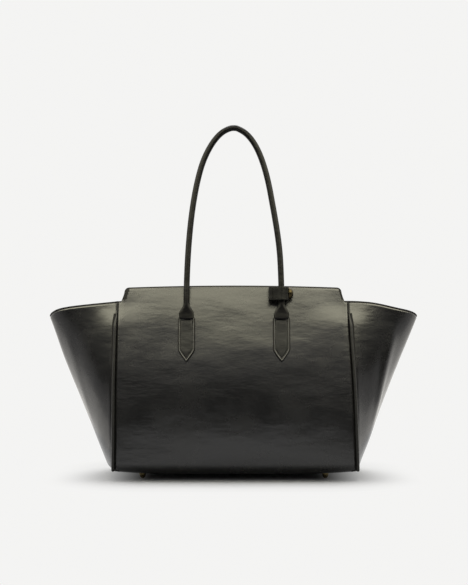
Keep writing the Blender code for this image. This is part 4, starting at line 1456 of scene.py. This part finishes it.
def make_zip_pull(finish):
    """A leather pull with a creased line inside its edge."""
    low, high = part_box("zip_pull")
    wide = (high.x - low.x) / 2
    centre_x = (high.x + low.x) / 2

    def pull(u, v):
        narrow = lerp(1.0, 0.62, rise(v, 0.72, 0.28))
        half = wide * narrow * math.sqrt(max(1 - max(1 - v / 0.1, 0) ** 2, 0.05))
        inward = (1 - abs(u)) * half
        raised = 0.0004 * rise(inward, 0, 0.0006) - 0.00018 * hump(inward, 0.0013, 0.0003)
        return Vector((centre_x + u * half, low.y + 0.0004 - raised, lerp(low.z, high.z, v)))

    dressing = ((finish.facing, finish.edge), "zip_pull", "facing_leather", "zip_pull")
    cut_leaf("zip_pull_leather", (28, 60), pull, (0, -1, 0), high.y - low.y - 0.0004, 0.0002, dressing)


def finish_plain_nodes(finish):
    """The frame's own board and nuts stay, with their real finishes."""
    nuts = ["foot_nut_" + end + "_" + side for end in ("front", "back") for side in ("left", "right")]
    for name in ["base_board"] + nuts:
        wanted = finish.board if name == "base_board" else finish.nickel
        for slot in bpy.data.objects[name].material_slots:
            slot.material = wanted


# Floor, lights and camera

TABLE_FRONT = 0.64
TABLE_BACK = 0.45
TABLE_HALF = 0.34
TABLE_FADE = 0.14
PAPER = (0.905, 0.903, 0.893)
SKY = (1.0, 0.96, 0.74)
GROUND = (1.0, 0.98, 0.97)
SKY_RADIUS = 1.60
RING_RADIUS = 3.0
RING_STEP = 21
# Between which heights on a card, from -0.5 to 0.5, its light grows
CARD_RAMP = (-0.48, -0.24)
# Each sky card's name, turn, height, and light at its foot and above
SKY_CARDS = (
    ("middle", 0, 1.55, (0.9, 4.9)),
    ("left", -38, 1.38, (1.6, 6.1)),
    ("right", 38, 1.38, (1.6, 6.3)),
    ("far_left", -74, 1.38, (2.6, 6.5)),
    ("far_right", 74, 1.38, (2.6, 6.5)),
)
# The ring's light from the middle to its ends, in the lower cards and the upper ones, at foot and above
RING_DARK = ((0.05, 0.05), (0.05, 0.05), (0.05, 0.05), (0.05, 0.05), (0.6, 0.6))
RING_DUSK = ((0.12, 0.5), (0.12, 0.5), (0.15, 0.3), (0.15, 0.3), (0.6, 0.6))
# Each row of the ring: its name, middle height, tallness and light
RING_ROWS = (("dark", -0.22, 1.1, RING_DARK), ("dusk", 0.80, 0.94, RING_DUSK))


def card(name, place, turn, size, colour, strength):
    """A glowing card that only reflections show; strength is its light at its foot and above."""
    deselect()
    bpy.ops.mesh.primitive_plane_add(size=1, location=place, rotation=turn)
    made = bpy.context.object
    made.name = name
    made.scale = (*size, 1)
    paint = Finish(name)
    height = paint.node("ShaderNodeSeparateXYZ", {}, {0: paint.place()}, 1)
    power = paint.map(height, *CARD_RAMP, *strength)
    paint.close(paint.node("ShaderNodeEmission", {}, {"Color": (*colour, 1.0), "Strength": power}))
    made.data.materials.append(paint.material)
    made.visible_camera = False
    made.visible_diffuse = False
    made.visible_shadow = False


def lay_floor():
    """A pale floor that keeps the bag's shadow near it and fades into the backdrop further off."""
    deselect()
    bpy.ops.mesh.primitive_plane_add(size=1)
    bpy.ops.transform.resize(value=(2 * TABLE_HALF, TABLE_FRONT + TABLE_BACK, 1))
    bpy.ops.transform.translate(value=(0, (TABLE_BACK - TABLE_FRONT) / 2, 0))
    bpy.ops.object.transform_apply(location=True, scale=True)
    floor = bpy.context.object
    floor.name = "floor"
    paint = Finish("floor_paint")
    paint.set(Base_Color=(0.90, 0.898, 0.888, 1.0), Roughness=0.9, Specular_IOR_Level=0.0)
    glow = paint.node("ShaderNodeEmission", {}, {"Color": (*PAPER, 1.0), "Strength": 1.0})

    def vector_sum(operation, inputs, output=0):
        return paint.node("ShaderNodeVectorMath", {"operation": operation}, inputs, output)

    ground = vector_sum("ABSOLUTE", {0: paint.place()})
    beyond = vector_sum("SUBTRACT", {0: ground, 1: (0.105, 0.07, 0.0)})
    distance = vector_sum("LENGTH", {0: vector_sum("MAXIMUM", {0: beyond, 1: (0, 0, 0)})}, "Value")
    far = paint.map(distance, 0.0, TABLE_FADE, kind="SMOOTHSTEP")
    plain = Value(paint, paint.nodes["Principled BSDF"].outputs[0])
    paint.close(paint.node("ShaderNodeMixShader", {}, {0: far, 1: plain, 2: glow}))
    floor.data.materials.append(paint.material)


def light_surroundings():
    """A pale backdrop for the camera, white for reflections and a faint light on all sides."""
    air = Finish("studio", bpy.data.worlds.new("studio"))
    bpy.context.scene.world = air.material

    def glow(colour, strength):
        return air.node("ShaderNodeBackground", {}, {"Color": (*colour, 1.0), "Strength": strength})

    def seen_by(ray, others, this):
        path = air.node("ShaderNodeLightPath", output=ray)
        return air.node("ShaderNodeMixShader", {}, {0: path, 1: others, 2: this})

    lit = seen_by("Is Glossy Ray", glow((0.98, 0.985, 1.0), 0.13), glow((1.0, 0.975, 0.93), 1.35))
    air.close(seen_by("Is Camera Ray", lit, glow(PAPER, 1.0)))


def studio():
    """Pale floor, white surroundings, a soft sky above the front, and the camera."""
    light_surroundings()
    lay_floor()
    for name, turn, height, strength in SKY_CARDS:
        angle = math.radians(turn)
        where = (SKY_RADIUS * math.sin(angle), -0.9 * SKY_RADIUS * math.cos(angle), height)
        card("sky_card_" + name, where, (math.radians(46.5), 0, angle), (1.15, 1.45), SKY, strength)
    for step in range(-4, 5):
        angle = math.radians(step * RING_STEP)
        x, y = RING_RADIUS * math.sin(angle), -RING_RADIUS * math.cos(angle)
        for kind, height, tall, strengths in RING_ROWS:
            name = kind + "_card_" + str(step + 4)
            card(name, (x, y, height), (math.pi / 2, 0, angle), (1.25, tall), GROUND, strengths[abs(step)])

    lamp = bpy.data.lights.new("key", "AREA")
    lamp.shape = "RECTANGLE"
    lamp.size, lamp.size_y = 1.6, 0.8
    lamp.energy = 42.0
    key = bpy.data.objects.new("key", lamp)
    key.location = (0.0, 0.48, 2.3)
    bpy.context.collection.objects.link(key)

    sight = bpy.data.cameras.new("camera")
    sight.sensor_width = 36.0
    sight.lens = 96.15
    camera = bpy.data.objects.new("camera", sight)
    camera.location = (0.0, -2.070, 0.240)
    camera.rotation_euler = (math.pi / 2, 0, 0)
    bpy.context.collection.objects.link(camera)
    bpy.context.scene.camera = camera
    bpy.context.scene.view_settings.view_transform = "Standard"


studio()
FINISH = Finishes()
make_walls(FINISH)
make_linings(FINISH)
make_piping(FINISH)
make_handle("front_handle", FRONT, HANDLE_STAND, FINISH)
make_handle("back_handle", BACK, HANDLE_HANG, FINISH)
for END, END_NAME in ENDS:
    for SIDE, SIDE_NAME in SIDES:
        make_tab(END, END_NAME, SIDE, SIDE_NAME, FINISH)
make_wall_stitches(FINISH)
make_feet(FINISH)
make_keeper(FINISH)
make_magnets(FINISH)
make_zip_tape(FINISH)
make_zip_slider(FINISH)
make_zip_pull(FINISH)
finish_plain_nodes(FINISH)
